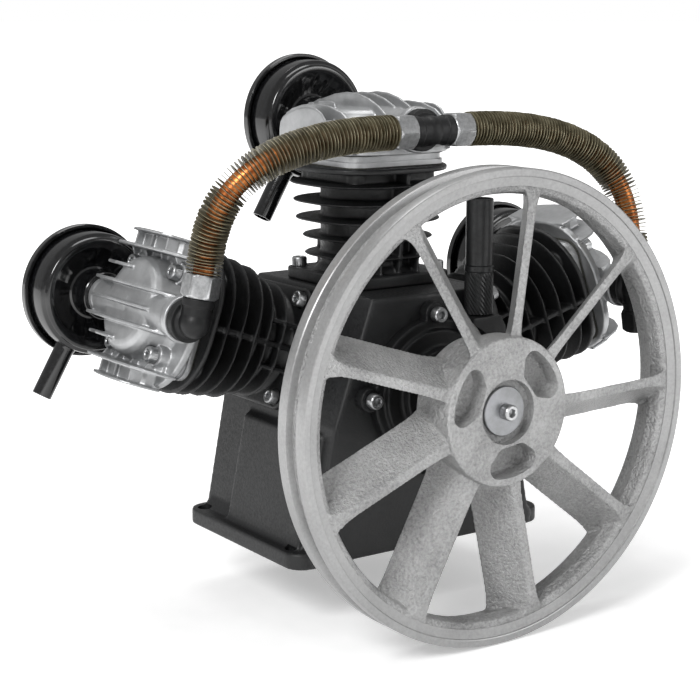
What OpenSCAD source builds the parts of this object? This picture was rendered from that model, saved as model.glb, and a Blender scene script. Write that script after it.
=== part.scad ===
/* [Layout] */
// Height of the crank axis above the underside of the base
crank_h = 136.4; // [132:0.1:142]
// Angle between the vertical cylinder and each side cylinder
side_tilt = 70.5; // [69:0.5:72]
// Distance along the crank between neighbouring cylinder rows
row_pitch = 34; // [33:0.5:36]
// Distance from the crank axis to a cylinder seat
seat_d = 80; // [78:1:84]
// Distance from a cylinder seat to the top of that cylinder
barrel_l = 100; // [96:1:106]

/* [Crankcase] */
// Width of the base flange across the machine
base_w = 260; // [250:1:280]
// Length of the base flange along the crank
base_l = 179; // [176:1:190]
// How far the base flange is set back from the vertical cylinder
base_back = 4; // [0:1:6]
// Thickness of the base flange
base_t = 14; // [10:1:18]
// Corner radius of the base flange
base_r = 16; // [10:1:20]
// Spacing of the foot holes across the machine
foot_w = 237.6; // [228:0.2:240]
// Spacing of the foot holes along the crank
foot_l = 142.4; // [136:0.2:146]
// How far the foot holes are set back from the vertical cylinder
foot_back = 7; // [4:1:8]
// Diameter of a foot hole
foot_hole_d = 13.5; // [10:0.5:15]
// Width of the housing where it meets the base flange
case_foot_w = 228; // [216:1:236]
// Distance from the vertical cylinder to the front and the back face of the housing
case_end = 88; // [87:0.5:90]
// Wall of the housing
case_wall = 8; // [6:0.5:9]
// Bore in each end wall that the bearing covers fill
cover_spigot_d = 104; // [102:1:108]
// Depth of the recess in the middle of the base flange's front edge
base_notch = 12; // [8:1:14]
// Width of that recess
base_notch_w = 140; // [120:1:150]

/* [Bearing covers] */
// Diameter of a bearing cover's flange
cover_d = 120; // [118:1:124]
// Thickness of that flange
cover_t = 10; // [8:1:12]
// Diameter of the circle of cover screws
cover_bolt_circle = 128; // [126:1:132]
// Diameter of an ear round a cover screw
cover_ear_d = 20; // [18:1:22]
// Outer diameter of a main bearing
bearing_d = 72; // [68:1:76]
// Bore of a main bearing
bearing_bore = 35; // [32:1:38]
// Width of a main bearing
bearing_w = 17; // [15:1:19]
// Outer diameter of the shaft seal
seal_d = 52; // [50:1:55]
// Width of the shaft seal
seal_w = 8; // [7:0.5:9]

/* [Cylinders] */
// Bore of a cylinder
bore_d = 65; // [62:1:66]
// Outer diameter of a cylinder barrel
barrel_d = 80; // [78:1:84]
// Diameter of the spigot under a cylinder
spigot_d = 75.8; // [75:0.2:77]
// Spacing of the screws in a cylinder's square foot
foot_screw_pitch = 84; // [82:1:86]
// Metal from those screws out to the edge of the foot
foot_screw_edge = 10; // [9:0.5:11]
// Thickness of that foot
foot_plate_t = 10.5; // [9:0.5:12]
// Corner radius of that foot
foot_plate_r = 10; // [8:1:12]
// Width over the largest fin
fin_w = 124.8; // [120:0.2:126]
// Thickness of a fin
fin_t = 3; // [2.5:0.1:3.5]
// Distance between neighbouring fins
fin_pitch = 15.2; // [15:0.1:15.6]
// Thickness of the web that joins the fins
web_t = 4; // [3:0.5:5]
// Spacing of the screws in a head
head_screw_pitch = 68; // [67:0.5:69]
// Radius of the metal round a head screw
head_pillar_r = 9; // [8:0.5:10]

/* [Valve plates and heads] */
// Thickness of one paper gasket
gasket_t = 1; // [0.8:0.1:1.2]
// Thickness of a valve plate
valve_plate_t = 9; // [8:0.5:10]
// Width of a valve plate
valve_plate_w = 98; // [94:1:100]
// Thickness of a head's flange
head_flange_t = 7; // [6:0.5:8]
// Height of the dome above the head's flange
dome_h = 29; // [28:0.5:31]
// Diameter of the dome
dome_d = 84; // [82:1:86]
// Wall of the head
head_wall = 4; // [3:0.5:5]
// Thickness of a head's fin
head_fin_t = 2.6; // [2:0.1:3]
// Height of the outer fins above the head's flange
outer_fin_h = 32; // [30:1:34]
// Height of the middle fins above the head's flange
middle_fin_h = 42; // [40:1:44]
// Height of the port axes above the head's flange
port_h = 14; // [13.5:0.5:15]
// Outer diameter of the inlet boss
inlet_boss_d = 34; // [32:1:36]
// Outer diameter of the outlet boss
outlet_boss_d = 38; // [36:1:40]
// Bore of the inlet and outlet
port_d = 18; // [16:1:20]
// Distance from the head's middle to the end of the inlet boss
inlet_reach = 64; // [63:1:68]
// Distance from the head's middle to the end of the outlet boss
outlet_reach = 72; // [70:1:74]

/* [Air filters] */
// Diameter of a filter drum
drum_d = 104; // [100:1:108]
// Depth of a filter drum
drum_l = 30; // [28:1:34]
// Diameter of the rolled rim between drum and cover
drum_rim_d = 114; // [110:1:116]
// Gap between the inlet boss and the face of the drum
neck_l = 12; // [11:1:16]
// Diameter of the filter's neck
neck_d = 40; // [38:1:42]
// Outer diameter of the snorkel
snorkel_d = 17; // [16:0.5:19]
// Distance from the drum's axis to the end of the snorkel
snorkel_reach = 98; // [90:1:104]
// Angle of the snorkels from straight down
snorkel_lean = 30.5; // [25:0.5:35]

/* [Pistons] */
// Stroke of a piston
stroke = 46; // [42:1:46]
// Length of a connecting rod between centres
rod_l = 126.5; // [124:0.5:128]
// Distance from the wrist pin to the piston's crown
crown_h = 30; // [28:0.5:30]
// Distance from the wrist pin to the end of the skirt
skirt_h = 29; // [26:0.5:29]
// Diameter of a wrist pin
wrist_d = 16; // [14:1:18]
// Height of a piston ring
ring_h = 2.4; // [2:0.1:2.6]

/* [Crankshaft] */
// Diameter of the crank pin
crankpin_d = 40; // [38:1:42]
// Width of one connecting rod's eye on the crank pin
eye_w = 24; // [22:1:26]
// Thickness of a crank web
web_crank_t = 14; // [12:1:15]
// Diameter of the shaft in the flywheel
nose_d = 30; // [28:1:32]
// Width of the flywheel key
key_w = 8; // [7:0.5:9]

/* [Flywheel] */
// Outer diameter of the flywheel
wheel_d = 380; // [360:1:384]
// Distance from the vertical cylinder to the front of the rim
wheel_front = 190; // [186:1:196]
// Depth of the rim
rim_l = 35; // [33:1:38]
// Radial depth of the rim
rim_t = 20; // [18:1:22]
// Width of the belt groove at its mouth
groove_w = 14; // [13:0.5:15]
// Depth of the belt groove
groove_depth = 12; // [10:0.5:13]
// Number of spokes
spoke_count = 9; // [7:1:11]
// Thickness of a spoke
spoke_t = 5.5; // [5:0.5:7]
// Sideways lean of a spoke across the rim
spoke_lean = 16; // [14:1:20]
// Diameter of the hub
hub_d = 119; // [112:1:122]
// Depth of the hub
hub_l = 50; // [46:1:52]
// Diameter of the recess in the hub's face
hub_recess_d = 52; // [48:1:56]
// Diameter of the washer on the shaft's end
washer_d = 40; // [36:1:44]

/* [Pipes and fittings] */
// Outer diameter over a finned pipe
pipe_fin_d = 29; // [28:0.5:31]
// Outer diameter of the bare pipe
pipe_d = 15; // [14:0.5:16]
// Bore of the pipe
pipe_bore = 11; // [10:0.5:12]
// Distance between neighbouring fins of a pipe
pipe_fin_pitch = 3.4; // [3.2:0.1:4]
// Outer diameter of a fitting's run
run_d = 23; // [22:0.5:25]
// Distance from an outlet boss to the axis of its fitting's run
fitting_out = 15; // [14:0.5:17]
// Half the length of a tee's run
tee_half = 19; // [18:0.5:21]
// Width of a pipe nut across its flats
nut_af = 26; // [25:0.5:27]
// Length of a pipe nut
nut_l = 19; // [18:0.5:22]
// Bore of the delivery outlet
delivery_d = 19; // [18:0.5:20]
// Lean of the left elbow's outlet from upright
elbow_lean = 12; // [10:0.5:14.5]
// Lean of the right tee's run from upright
tee_lean = 9.5; // [8:0.5:11]

/* [Breather] */
// Diameter of the breather's tube
breather_d = 22.5; // [21:0.5:24]
// Diameter of the breather's knurled body
breather_body_d = 24; // [23.5:0.5:26]
// Height of the knurled body
breather_body_h = 36; // [32:1:40]
// Height of the breather's tube
breather_tube_h = 55; // [50:1:60]

/* [Screws] */
// Diameter of the housing screws
screw_d = 8; // [7:0.5:8]
// Diameter of a screw's head
screw_head_d = 13; // [12:0.5:14]
// Height of a screw's head
screw_head_h = 8; // [7:0.5:9]

/* [Hidden] */
$fn = 48;

// Clearances
overrun = 1;
run_gap = 0.04;
slide_gap = 0.08;
seat_gap = 0.1;
soft_gap = 0.3;
hair = 0.002;

// Rows of cylinders: 0 left, 1 vertical, 2 right
LEFT = 0;
CENTER = 1;
RIGHT = 2;
ROWS = [LEFT, CENTER, RIGHT];
tilt_of = [-side_tilt, 0, side_tilt];
row_of = [row_pitch, 0, -row_pitch];

// A cylinder's foot reaches past its screws on every side
foot_plate_w = foot_screw_pitch + 2 * foot_screw_edge;

// Distances from the crank axis along a cylinder
deck_d = seat_d + barrel_l;
plate_d = deck_d + gasket_t;
head_d = plate_d + valve_plate_t + gasket_t;
flange_d = head_d + head_flange_t;
port_axis_d = flange_d + port_h;

// Crank and piston positions with the crank pin straight up
throw = stroke / 2;
function pin_at(i) = throw * cos(tilt_of[i])
    + sqrt(pow(rod_l, 2) - pow(throw * sin(tilt_of[i]), 2));
function swing_at(i) = asin(throw * sin(tilt_of[i]) / rod_l);

// Places along the crank, measured towards the flywheel
cover_face = case_end + cover_t;
hub_proud_share = 0.04;
hub_front = wheel_front + hub_proud_share * hub_l;
hub_back = hub_front - hub_l;
recess_depth = screw_head_h;
nose_end = hub_front - recess_depth;
washer_t = screw_head_h / 2;

// Breather place on the crankcase's front shoulder
breather_x = 42;
breather_boss_h = 30;
breather_plug_h = 9;
breather_boss_w = 34;
breather_rise = 60.4;
breather_z = crank_h + breather_rise;
breather_y = case_end + breather_body_d / 2 + soft_gap;

// Sight glass and drain plug in the back wall
plug_d = 16;
sight_d = 26;
sight_share = 3.4;
sight_z = base_t * sight_share;
drain_share = 0.65;
drain_z = base_t + plug_d * drain_share;

BLACK = "#1f1f20";
ALLOY = "#a9aaab";
WHEEL = "#a4a4a3";
STEEL = "#c2c2c0";
COPPER = "#9a5c34";

// Local frame of a cylinder: +Z outwards along its axis, +Y along the crank
module at_cylinder(i) {
    translate([0, row_of[i], crank_h]) rotate([0, tilt_of[i], 0]) children();
}

// Local frame of the crank axis: +Z towards the flywheel, +Y up
module on_crank() {
    translate([0, 0, crank_h]) rotate([90, 0, 0]) children();
}

module rounded_square(w, l, r) {
    square([w - 2 * r, l], center = true);
    square([w, l - 2 * r], center = true);
    for (x = [-1, 1], y = [-1, 1])
        translate([x * (w / 2 - r), y * (l / 2 - r)]) circle(r);
}

module slab(w, l, r, t) {
    linear_extrude(t) rounded_square(w, l, r);
}

module four(px, py) {
    for (x = [-1, 1], y = [-1, 1]) translate([x * px / 2, y * py / 2, 0]) children();
}

// Socket head screw, its seat at the origin and its shank going down
module cap_screw(l) {
    socket_share = 0.46;
    depth_share = 0.5;
    difference() {
        union() {
            cylinder(d = screw_head_d, h = screw_head_h);
            translate([0, 0, -l]) cylinder(d = screw_d, h = l + screw_head_h * depth_share);
        }
        translate([0, 0, screw_head_h * (1 - depth_share)])
            cylinder(d = screw_head_d * socket_share, h = screw_head_h, $fn = 6);
    }
}

module screw_hole(l) {
    translate([0, 0, -l]) cylinder(d = screw_d + 2 * seat_gap, h = l + overrun);
}

// Outline of the housing seen from the flywheel, drawn in by a wall
function case_outline(inset) =
    let (d = seat_d - inset,
         low = foot_plate_w / 2 + inset / 2,
         top = crank_h + d,
         top_x = d * tan(side_tilt / 2),
         low_x = d * sin(side_tilt) + low * cos(side_tilt),
         low_z = crank_h + d * cos(side_tilt) - low * sin(side_tilt),
         foot_x = case_foot_w / 2 - inset,
         foot_z = inset == 0 ? 0 : base_t)
    [[-foot_x, foot_z], [foot_x, foot_z], [low_x, low_z], [top_x, top],
     [-top_x, top], [-low_x, low_z]];

module crankcase() {
    screw_depth = case_wall * 2;
    pad_t = case_wall;
    boss_z = breather_z - breather_boss_h;
    color(BLACK) difference() {
        union() {
            translate([0, base_back, 0]) difference() {
                slab(base_w, base_l, base_r, base_t);
                translate([0, -base_l / 2, base_t / 2])
                    cube([base_notch_w, 2 * base_notch, base_t + 2 * overrun], center = true);
            }
            translate([0, case_end, 0]) rotate([90, 0, 0])
                linear_extrude(2 * case_end) polygon(case_outline(0));
            difference() {
                translate([breather_x - breather_boss_w / 2, -breather_y - breather_body_d / 2, boss_z])
                    cube([breather_boss_w, breather_body_d + case_wall, breather_boss_h]);
                on_crank() translate([0, 0, case_end])
                    cylinder(d = cover_d + 2 * soft_gap, h = 2 * breather_boss_w);
            }
        }
        // Crank space
        translate([0, case_end - case_wall, 0]) rotate([90, 0, 0])
            linear_extrude(2 * (case_end - case_wall)) polygon(case_outline(case_wall));
        // End bores for the bearing covers
        on_crank() cylinder(d = cover_spigot_d, h = 2 * (case_end + overrun), center = true);
        // Cylinder openings and their screws
        for (i = ROWS) at_cylinder(i) {
            translate([0, 0, seat_d - 2 * case_wall])
                cylinder(d = spigot_d + 2 * seat_gap, h = 2 * case_wall + overrun);
            translate([0, 0, seat_d]) four(foot_screw_pitch, foot_screw_pitch)
                screw_hole(screw_depth - case_wall / 2);
        }
        // Foot holes
        translate([0, foot_back, -overrun]) four(foot_w, foot_l)
            cylinder(d = foot_hole_d, h = base_t + 2 * overrun);
        // Cover screws, front and back
        for (side = [0, 180]) rotate([0, 0, side]) on_crank()
            for (a = [0:90:270]) rotate([0, 0, a])
                translate([cover_bolt_circle / 2, 0, case_end]) screw_hole(case_wall / 2);
        // Breather hole
        translate([breather_x, -breather_y, breather_z - breather_plug_h - overrun])
            cylinder(d = breather_d / 2, h = breather_plug_h + 2 * overrun);
        // Sight glass and drain plug
        for (z = [sight_z, drain_z]) translate([0, case_end + overrun, z])
            rotate([90, 0, 0]) cylinder(d = plug_d + 2 * seat_gap, h = case_wall + 2 * overrun);
    }
}

// Flange, ears and spigot that both bearing covers share
module cover_blank() {
    spigot_l = case_wall + bearing_w / 2;
    translate([0, 0, case_end]) {
        cylinder(d = cover_d, h = cover_t);
        for (a = [0:90:270]) rotate([0, 0, a]) {
            translate([cover_bolt_circle / 2, 0, 0]) cylinder(d = cover_ear_d, h = cover_t);
            translate([0, -cover_ear_d / 2, 0]) cube([cover_bolt_circle / 2, cover_ear_d, cover_t]);
        }
        translate([0, 0, -spigot_l]) cylinder(d = cover_spigot_d - 2 * seat_gap, h = spigot_l);
    }
}

bearing_in_share = 0.4;
bearing_back = case_end + cover_t - bearing_w * bearing_in_share;
bearing_front = bearing_back - bearing_w;

module cover_screw_holes() {
    for (a = [0:90:270]) rotate([0, 0, a])
        translate([cover_bolt_circle / 2, 0, cover_face]) screw_hole(cover_t + overrun);
}

nose_out_share = 1.4;
nose_out = cover_t * nose_out_share;

module front_cover() {
    ring_share = 0.86;
    nose_share = 0.62;
    ring_out = cover_t / 2;
    color(BLACK) on_crank() difference() {
        union() {
            cover_blank();
            translate([0, 0, case_end]) cylinder(d = cover_d * ring_share, h = cover_t + ring_out);
            translate([0, 0, case_end]) cylinder(d = cover_d * nose_share, h = cover_t + nose_out);
        }
        translate([0, 0, bearing_front - bearing_w])
            cylinder(d = bearing_d + 2 * run_gap, h = 2 * bearing_w);
        translate([0, 0, case_end]) cylinder(d = seal_d + 2 * run_gap, h = 4 * cover_t);
        cover_screw_holes();
    }
}

module rear_cover() {
    cap_share = 0.72;
    cap_out_share = 1.5;
    color(BLACK) rotate([0, 0, 180]) on_crank() difference() {
        union() {
            cover_blank();
            translate([0, 0, case_end]) cylinder(d = cover_d * cap_share, h = cover_t * cap_out_share);
        }
        translate([0, 0, bearing_front - bearing_w])
            cylinder(d = bearing_d + 2 * run_gap, h = 2 * bearing_w);
        cover_screw_holes();
    }
}

module cover_gaskets() {
    window_share = 0.8;
    color("#3a3a38") for (side = [0, 180]) rotate([0, 0, side]) on_crank()
        translate([0, 0, bearing_front - gasket_t]) difference() {
            cylinder(d = bearing_d - 2 * seat_gap, h = gasket_t);
            translate([0, 0, -overrun]) cylinder(d = bearing_d * window_share, h = gasket_t + 2 * overrun);
        }
}

module cover_screws() {
    color(STEEL) for (side = [0, 180]) rotate([0, 0, side]) on_crank()
        for (a = [0:90:270]) rotate([0, 0, a])
            translate([cover_bolt_circle / 2, 0, cover_face]) cap_screw(cover_t + case_wall / 4);
}

module bearing() {
    race_share = 0.14;
    ball_share = 0.3;
    step = (bearing_d - bearing_bore) / 2;
    difference() {
        cylinder(d = bearing_d, h = bearing_w);
        translate([0, 0, -overrun])
            cylinder(d = bearing_bore + 2 * run_gap, h = bearing_w + 2 * overrun);
        for (z = [-overrun, bearing_w * (1 - race_share)]) translate([0, 0, z]) difference() {
            cylinder(d = bearing_d - step * ball_share * 2, h = bearing_w * race_share + overrun);
            cylinder(d = bearing_bore + step * ball_share * 2, h = bearing_w * race_share + overrun);
        }
    }
}

module front_bearing() {
    color(STEEL) on_crank() translate([0, 0, bearing_front]) bearing();
}

module rear_bearing() {
    color(STEEL) rotate([0, 0, 180]) on_crank() translate([0, 0, bearing_front]) bearing();
}

module shaft_seal() {
    color("#2b2b2b") on_crank() translate([0, 0, cover_face + nose_out - seal_w])
        difference() {
            cylinder(d = seal_d, h = seal_w);
            translate([0, 0, -overrun])
                cylinder(d = bearing_bore + 2 * slide_gap, h = seal_w + 2 * overrun);
        }
}

module sight_glass() {
    lip = 3;
    color("#c9b06a") translate([0, case_end, sight_z]) rotate([-90, 0, 0]) difference() {
        union() {
            cylinder(d = sight_d, h = 2 * lip);
            translate([0, 0, -case_wall]) cylinder(d = plug_d, h = case_wall);
        }
        translate([0, 0, lip]) cylinder(d = plug_d, h = 2 * lip);
    }
}

module drain_plug() {
    head_h = 7;
    head_share = 1.1;
    color(STEEL) translate([0, case_end, drain_z]) rotate([-90, 0, 0]) {
        cylinder(d = plug_d * head_share, h = head_h, $fn = 6);
        translate([0, 0, -case_wall]) cylinder(d = plug_d, h = case_wall);
    }
}

module breather_body() {
    collar_h = 5;
    color(BLACK) translate([breather_x, -breather_y, breather_z]) difference() {
        union() {
            cylinder(d = breather_body_d, h = breather_body_h);
            translate([0, 0, breather_body_h])
                cylinder(d = breather_body_d + seat_gap, h = collar_h);
            translate([0, 0, -breather_plug_h]) cylinder(d = breather_d / 2 - seat_gap, h = breather_plug_h);
        }
        translate([0, 0, -breather_plug_h - overrun])
            cylinder(d = breather_d / 4, h = breather_plug_h + breather_body_h + 3 * collar_h);
    }
}

module breather_tube() {
    collar_h = 5;
    tube_wall = 2;
    color(BLACK) translate([breather_x, -breather_y, breather_z + breather_body_h + collar_h])
        difference() {
            cylinder(d = breather_d, h = breather_tube_h);
            translate([0, 0, -overrun])
                cylinder(d = breather_d / 4, h = breather_tube_h);
            translate([0, 0, 2 * collar_h])
                cylinder(d = breather_d - 2 * tube_wall, h = breather_tube_h);
        }
}

side_play_share = 0.15;
// Half the length of the crank pin
pin_half = row_pitch + eye_w / 2 + row_pitch * side_play_share;

module crank_web() {
    weight_share = 0.76;
    cheek_share = 0.7;
    arm_share = 1.2;
    weight_r = seat_d * weight_share;
    cheek_r = crankpin_d * cheek_share;
    arm_w = crankpin_d * arm_share;
    cylinder(r = cheek_r, h = web_crank_t);
    translate([0, throw, 0]) cylinder(r = cheek_r, h = web_crank_t);
    translate([-cheek_r, 0, 0]) cube([2 * cheek_r, throw, web_crank_t]);
    intersection() {
        cylinder(r = weight_r, h = web_crank_t);
        translate([-arm_w, -weight_r, 0]) cube([2 * arm_w, weight_r, web_crank_t]);
    }
}

keyway_share = 0.7;
keyway_l = hub_l * keyway_share;

module crankshaft() {
    color("#8b8b88") on_crank() difference() {
        union() {
            translate([0, throw, -pin_half]) cylinder(d = crankpin_d, h = 2 * pin_half);
            translate([0, 0, pin_half]) crank_web();
            translate([0, 0, -pin_half - web_crank_t]) crank_web();
            translate([0, 0, pin_half]) cylinder(d = bearing_bore, h = hub_back - pin_half - soft_gap);
            translate([0, 0, pin_half]) cylinder(d = nose_d, h = nose_end - pin_half);
            translate([0, 0, -bearing_back]) cylinder(d = bearing_bore, h = bearing_back - pin_half);
        }
        translate([-key_w / 2, nose_d / 2 - key_w / 2, nose_end - keyway_l])
            cube([key_w, nose_d, keyway_l + overrun]);
        translate([0, 0, nose_end]) screw_hole(2 * screw_head_d);
    }
}

eye_gap = 0.05;

module rod_big_ends() {
    eye_wall = 9;
    lug_w = 14;
    lug_h = 20;
    color("#8f8f8c") on_crank() for (i = ROWS)
        translate([0, throw, -row_of[i] - eye_w / 2]) rotate([0, 0, -tilt_of[i]]) difference() {
            union() {
                cylinder(d = crankpin_d + 2 * eye_wall, h = eye_w);
                translate([-crankpin_d / 2 - lug_w, -lug_h / 2, 0])
                    cube([crankpin_d + 2 * lug_w, lug_h, eye_w]);
                if (i == CENTER) translate([-screw_d / 4, -crankpin_d - eye_wall, eye_w / 2])
                    cube([screw_d / 2, crankpin_d, screw_d / 2]);
            }
            translate([0, 0, -overrun])
                cylinder(d = crankpin_d + 2 * eye_gap, h = eye_w + 2 * overrun);
        }
}

// Cross-section of the rim: radius against distance towards the viewer
module rim_profile() {
    r = wheel_d / 2;
    back = wheel_front - rim_l;
    face_w = 6.5;
    bevel = 1.2;
    lip = 10.5;
    floor_w = 5.5;
    inner = r - rim_t;
    groove_front = wheel_front - lip;
    groove_back = groove_front - groove_w;
    groove_mid = groove_front - groove_w / 2;
    ridge = 2;
    polygon([
        [inner + 2 * ridge, back], [r - bevel, back], [r, back + bevel],
        [r, groove_back], [r - groove_depth, groove_mid - floor_w / 2],
        [r - groove_depth, groove_mid + floor_w / 2], [r, groove_front],
        [r, wheel_front - bevel], [r - bevel, wheel_front], [r - face_w, wheel_front],
        [inner + ridge, wheel_front - lip / 2], [inner, back + rim_l / 2],
        [inner + ridge, back + rim_l / 2 - ridge]
    ]);
}

module spoke() {
    lip = 2;
    root_share = 0.8;
    front = wheel_front - lip;
    back = wheel_front - rim_l + lip;
    inner = hub_d / 2 * root_share;
    outer = wheel_d / 2 - rim_t + 2 * lip;
    rotate([90, 0, 90]) translate([0, 0, inner]) linear_extrude(outer - inner) polygon([
        [0, front], [-spoke_lean, back], [-spoke_lean - spoke_t, back], [-spoke_t, front]
    ]);
}

spoke_phase = 2;
pocket_phase = 40;

module flywheel() {
    pocket_r = 13.5;
    pocket_at = 41;
    pocket_step = 11;
    pocket_depth = 18;
    barrel_share = 0.9;
    color(WHEEL) on_crank() difference() {
        union() {
            rotate_extrude($fn = 96) rim_profile();
            for (k = [0:spoke_count - 1]) rotate([0, 0, spoke_phase + k * 360 / spoke_count]) spoke();
            translate([0, 0, hub_front - hub_l / 2]) cylinder(d = hub_d, h = hub_l / 2);
            translate([0, 0, hub_back]) cylinder(d = hub_d * barrel_share, h = hub_l);
        }
        for (k = [0:2], s = [-1:1]) rotate([0, 0, pocket_phase + k * 120 + s * pocket_step])
            translate([pocket_at, 0, hub_front - pocket_depth])
                cylinder(r = pocket_r, h = pocket_depth + overrun);
        translate([0, 0, hub_front - recess_depth])
            cylinder(d = hub_recess_d, h = recess_depth + overrun);
        translate([0, 0, hub_back - overrun])
            cylinder(d = nose_d + 2 * run_gap, h = hub_l + 2 * overrun);
        translate([-key_w / 2, 0, hub_back - overrun])
            cube([key_w, nose_d / 2 + key_w / 2, hub_l + 2 * overrun]);
    }
}

module flywheel_key() {
    color(STEEL) on_crank()
        translate([-key_w / 2 + run_gap, nose_d / 2 - key_w / 2 + run_gap, nose_end - keyway_l + run_gap])
            cube([key_w - 2 * run_gap, key_w - 2 * run_gap, keyway_l - 2 * run_gap]);
}

module flywheel_washer() {
    color(STEEL) on_crank() translate([0, 0, nose_end + run_gap]) difference() {
        cylinder(d = washer_d, h = washer_t);
        translate([0, 0, -overrun]) cylinder(d = screw_d + 2 * seat_gap, h = washer_t + 2 * overrun);
    }
}

module flywheel_bolt() {
    color(STEEL) on_crank() translate([0, 0, nose_end + washer_t + run_gap])
        cap_screw(washer_t + screw_head_d);
}

// Width of each fin as a share of the largest, counted from the top down
fin_shares = [0.984, 0.947, 0.918, 0.827, 0.8];
corner_share = 0.4;

module fin(w, t) {
    slab(w, w, w * corner_share, t);
}

module cylinder_body(i) {
    pillar_w = head_screw_pitch + 2 * head_pillar_r;
    top_share = 1.6;
    tapped_share = 0.8;
    web_foot_share = 0.92;
    web_side_share = 0.97;
    top_t = fin_t * top_share;
    color(BLACK) at_cylinder(i) difference() {
        union() {
            translate([0, 0, seat_d - case_wall]) cylinder(d = spigot_d, h = case_wall);
            translate([0, 0, seat_d + hair])
                slab(foot_plate_w, foot_plate_w, foot_plate_r, foot_plate_t - hair);
            translate([0, 0, seat_d]) cylinder(d = spigot_d, h = foot_plate_t);
            translate([0, 0, seat_d + hair]) cylinder(d = barrel_d, h = barrel_l - hair);
            translate([0, 0, deck_d - top_t]) fin(fin_w, top_t);
            for (k = [0:len(fin_shares) - 1])
                translate([0, 0, deck_d - (k + 1) * fin_pitch - fin_t / 2])
                    fin(fin_w * fin_shares[k], fin_t);
            translate([0, 0, deck_d - fin_pitch])
                slab(pillar_w, pillar_w, head_pillar_r, fin_pitch);
            for (side = [0, 180]) rotate([0, 0, side]) translate([-web_t / 2, 0, 0])
                rotate([90, 0, 90]) linear_extrude(web_t) polygon([
                    [0, seat_d + foot_plate_t / 2],
                    [foot_plate_w / 2 * web_foot_share, seat_d + foot_plate_t / 2],
                    [fin_w / 2 * fin_shares[4] * web_side_share, deck_d - 5 * fin_pitch],
                    [fin_w / 2 * web_side_share, deck_d - fin_t / 2], [0, deck_d - fin_t / 2]
                ]);
        }
        translate([0, 0, seat_d - case_wall - overrun])
            cylinder(d = bore_d, h = barrel_l + case_wall + 2 * overrun);
        translate([0, 0, seat_d + foot_plate_t]) four(foot_screw_pitch, foot_screw_pitch)
            screw_hole(foot_plate_t + overrun);
        translate([0, 0, deck_d]) four(head_screw_pitch, head_screw_pitch)
            screw_hole(fin_pitch * tapped_share);
    }
}

// Corner radius of the valve plate and its gaskets as a share of their width
plate_corner_share = 0.14;

module cylinder_gaskets() {
    land_share = 0.2;
    step = spigot_d - bore_d;
    color("#4a4a44") for (i = ROWS) at_cylinder(i) translate([0, 0, deck_d]) difference() {
        slab(valve_plate_w, valve_plate_w, valve_plate_w * plate_corner_share, gasket_t);
        translate([0, 0, -overrun]) cylinder(d = bore_d + step * land_share, h = gasket_t + 2 * overrun);
        translate([0, 0, gasket_t]) four(head_screw_pitch, head_screw_pitch)
            screw_hole(gasket_t + overrun);
    }
}

module cylinder_screws() {
    color(STEEL) for (i = ROWS) at_cylinder(i) translate([0, 0, seat_d + foot_plate_t])
        four(foot_screw_pitch, foot_screw_pitch) cap_screw(foot_plate_t + case_wall);
}

module valve_plate(i) {
    valve_share = 0.8;
    lower_share = 0.45;
    upper_share = 0.97;
    valve_hole = port_d * valve_share;
    upper_w = valve_plate_w * upper_share;
    color(ALLOY) at_cylinder(i) translate([0, 0, plate_d]) difference() {
        union() {
            slab(valve_plate_w, valve_plate_w, valve_plate_w * plate_corner_share, valve_plate_t * lower_share);
            slab(upper_w, upper_w, upper_w * plate_corner_share, valve_plate_t);
        }
        for (y = [-1, 1]) translate([0, y * bore_d / 4, -overrun])
            cylinder(d = valve_hole, h = valve_plate_t + 2 * overrun);
        translate([0, 0, valve_plate_t]) four(head_screw_pitch, head_screw_pitch)
            screw_hole(valve_plate_t + overrun);
    }
}

module head_gaskets() {
    color("#4a4a44") for (i = ROWS) at_cylinder(i)
        translate([0, 0, plate_d + valve_plate_t]) difference() {
            slab(valve_plate_w, valve_plate_w, valve_plate_w * plate_corner_share, gasket_t);
            for (y = [-1, 1]) translate([0, y * bore_d / 4, -overrun])
                cylinder(d = port_d, h = gasket_t + 2 * overrun);
            translate([0, 0, gasket_t]) four(head_screw_pitch, head_screw_pitch)
                screw_hole(gasket_t + overrun);
        }
}

// Arched outline of a head fin, along the crank and up from the flange
function arch(reach, h, square_share) =
    let (mid = (reach[0] - reach[1]) / 2, half = (reach[0] + reach[1]) / 2)
    [for (a = [0:15:180]) [mid + half * sign(cos(a)) * pow(abs(cos(a)), square_share),
                           h * pow(sin(a), square_share)]];

module head_fin(x, reach, h) {
    arch_share = 0.45;
    translate([x - head_fin_t / 2, 0, flange_d - head_fin_t]) rotate([90, 0, 90])
        linear_extrude(head_fin_t) polygon(arch(reach, h + head_fin_t, arch_share));
}

// Height of a head screw's seat above the flange
seat_share = 0.65;
screw_seat_h = port_h * seat_share;

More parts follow.
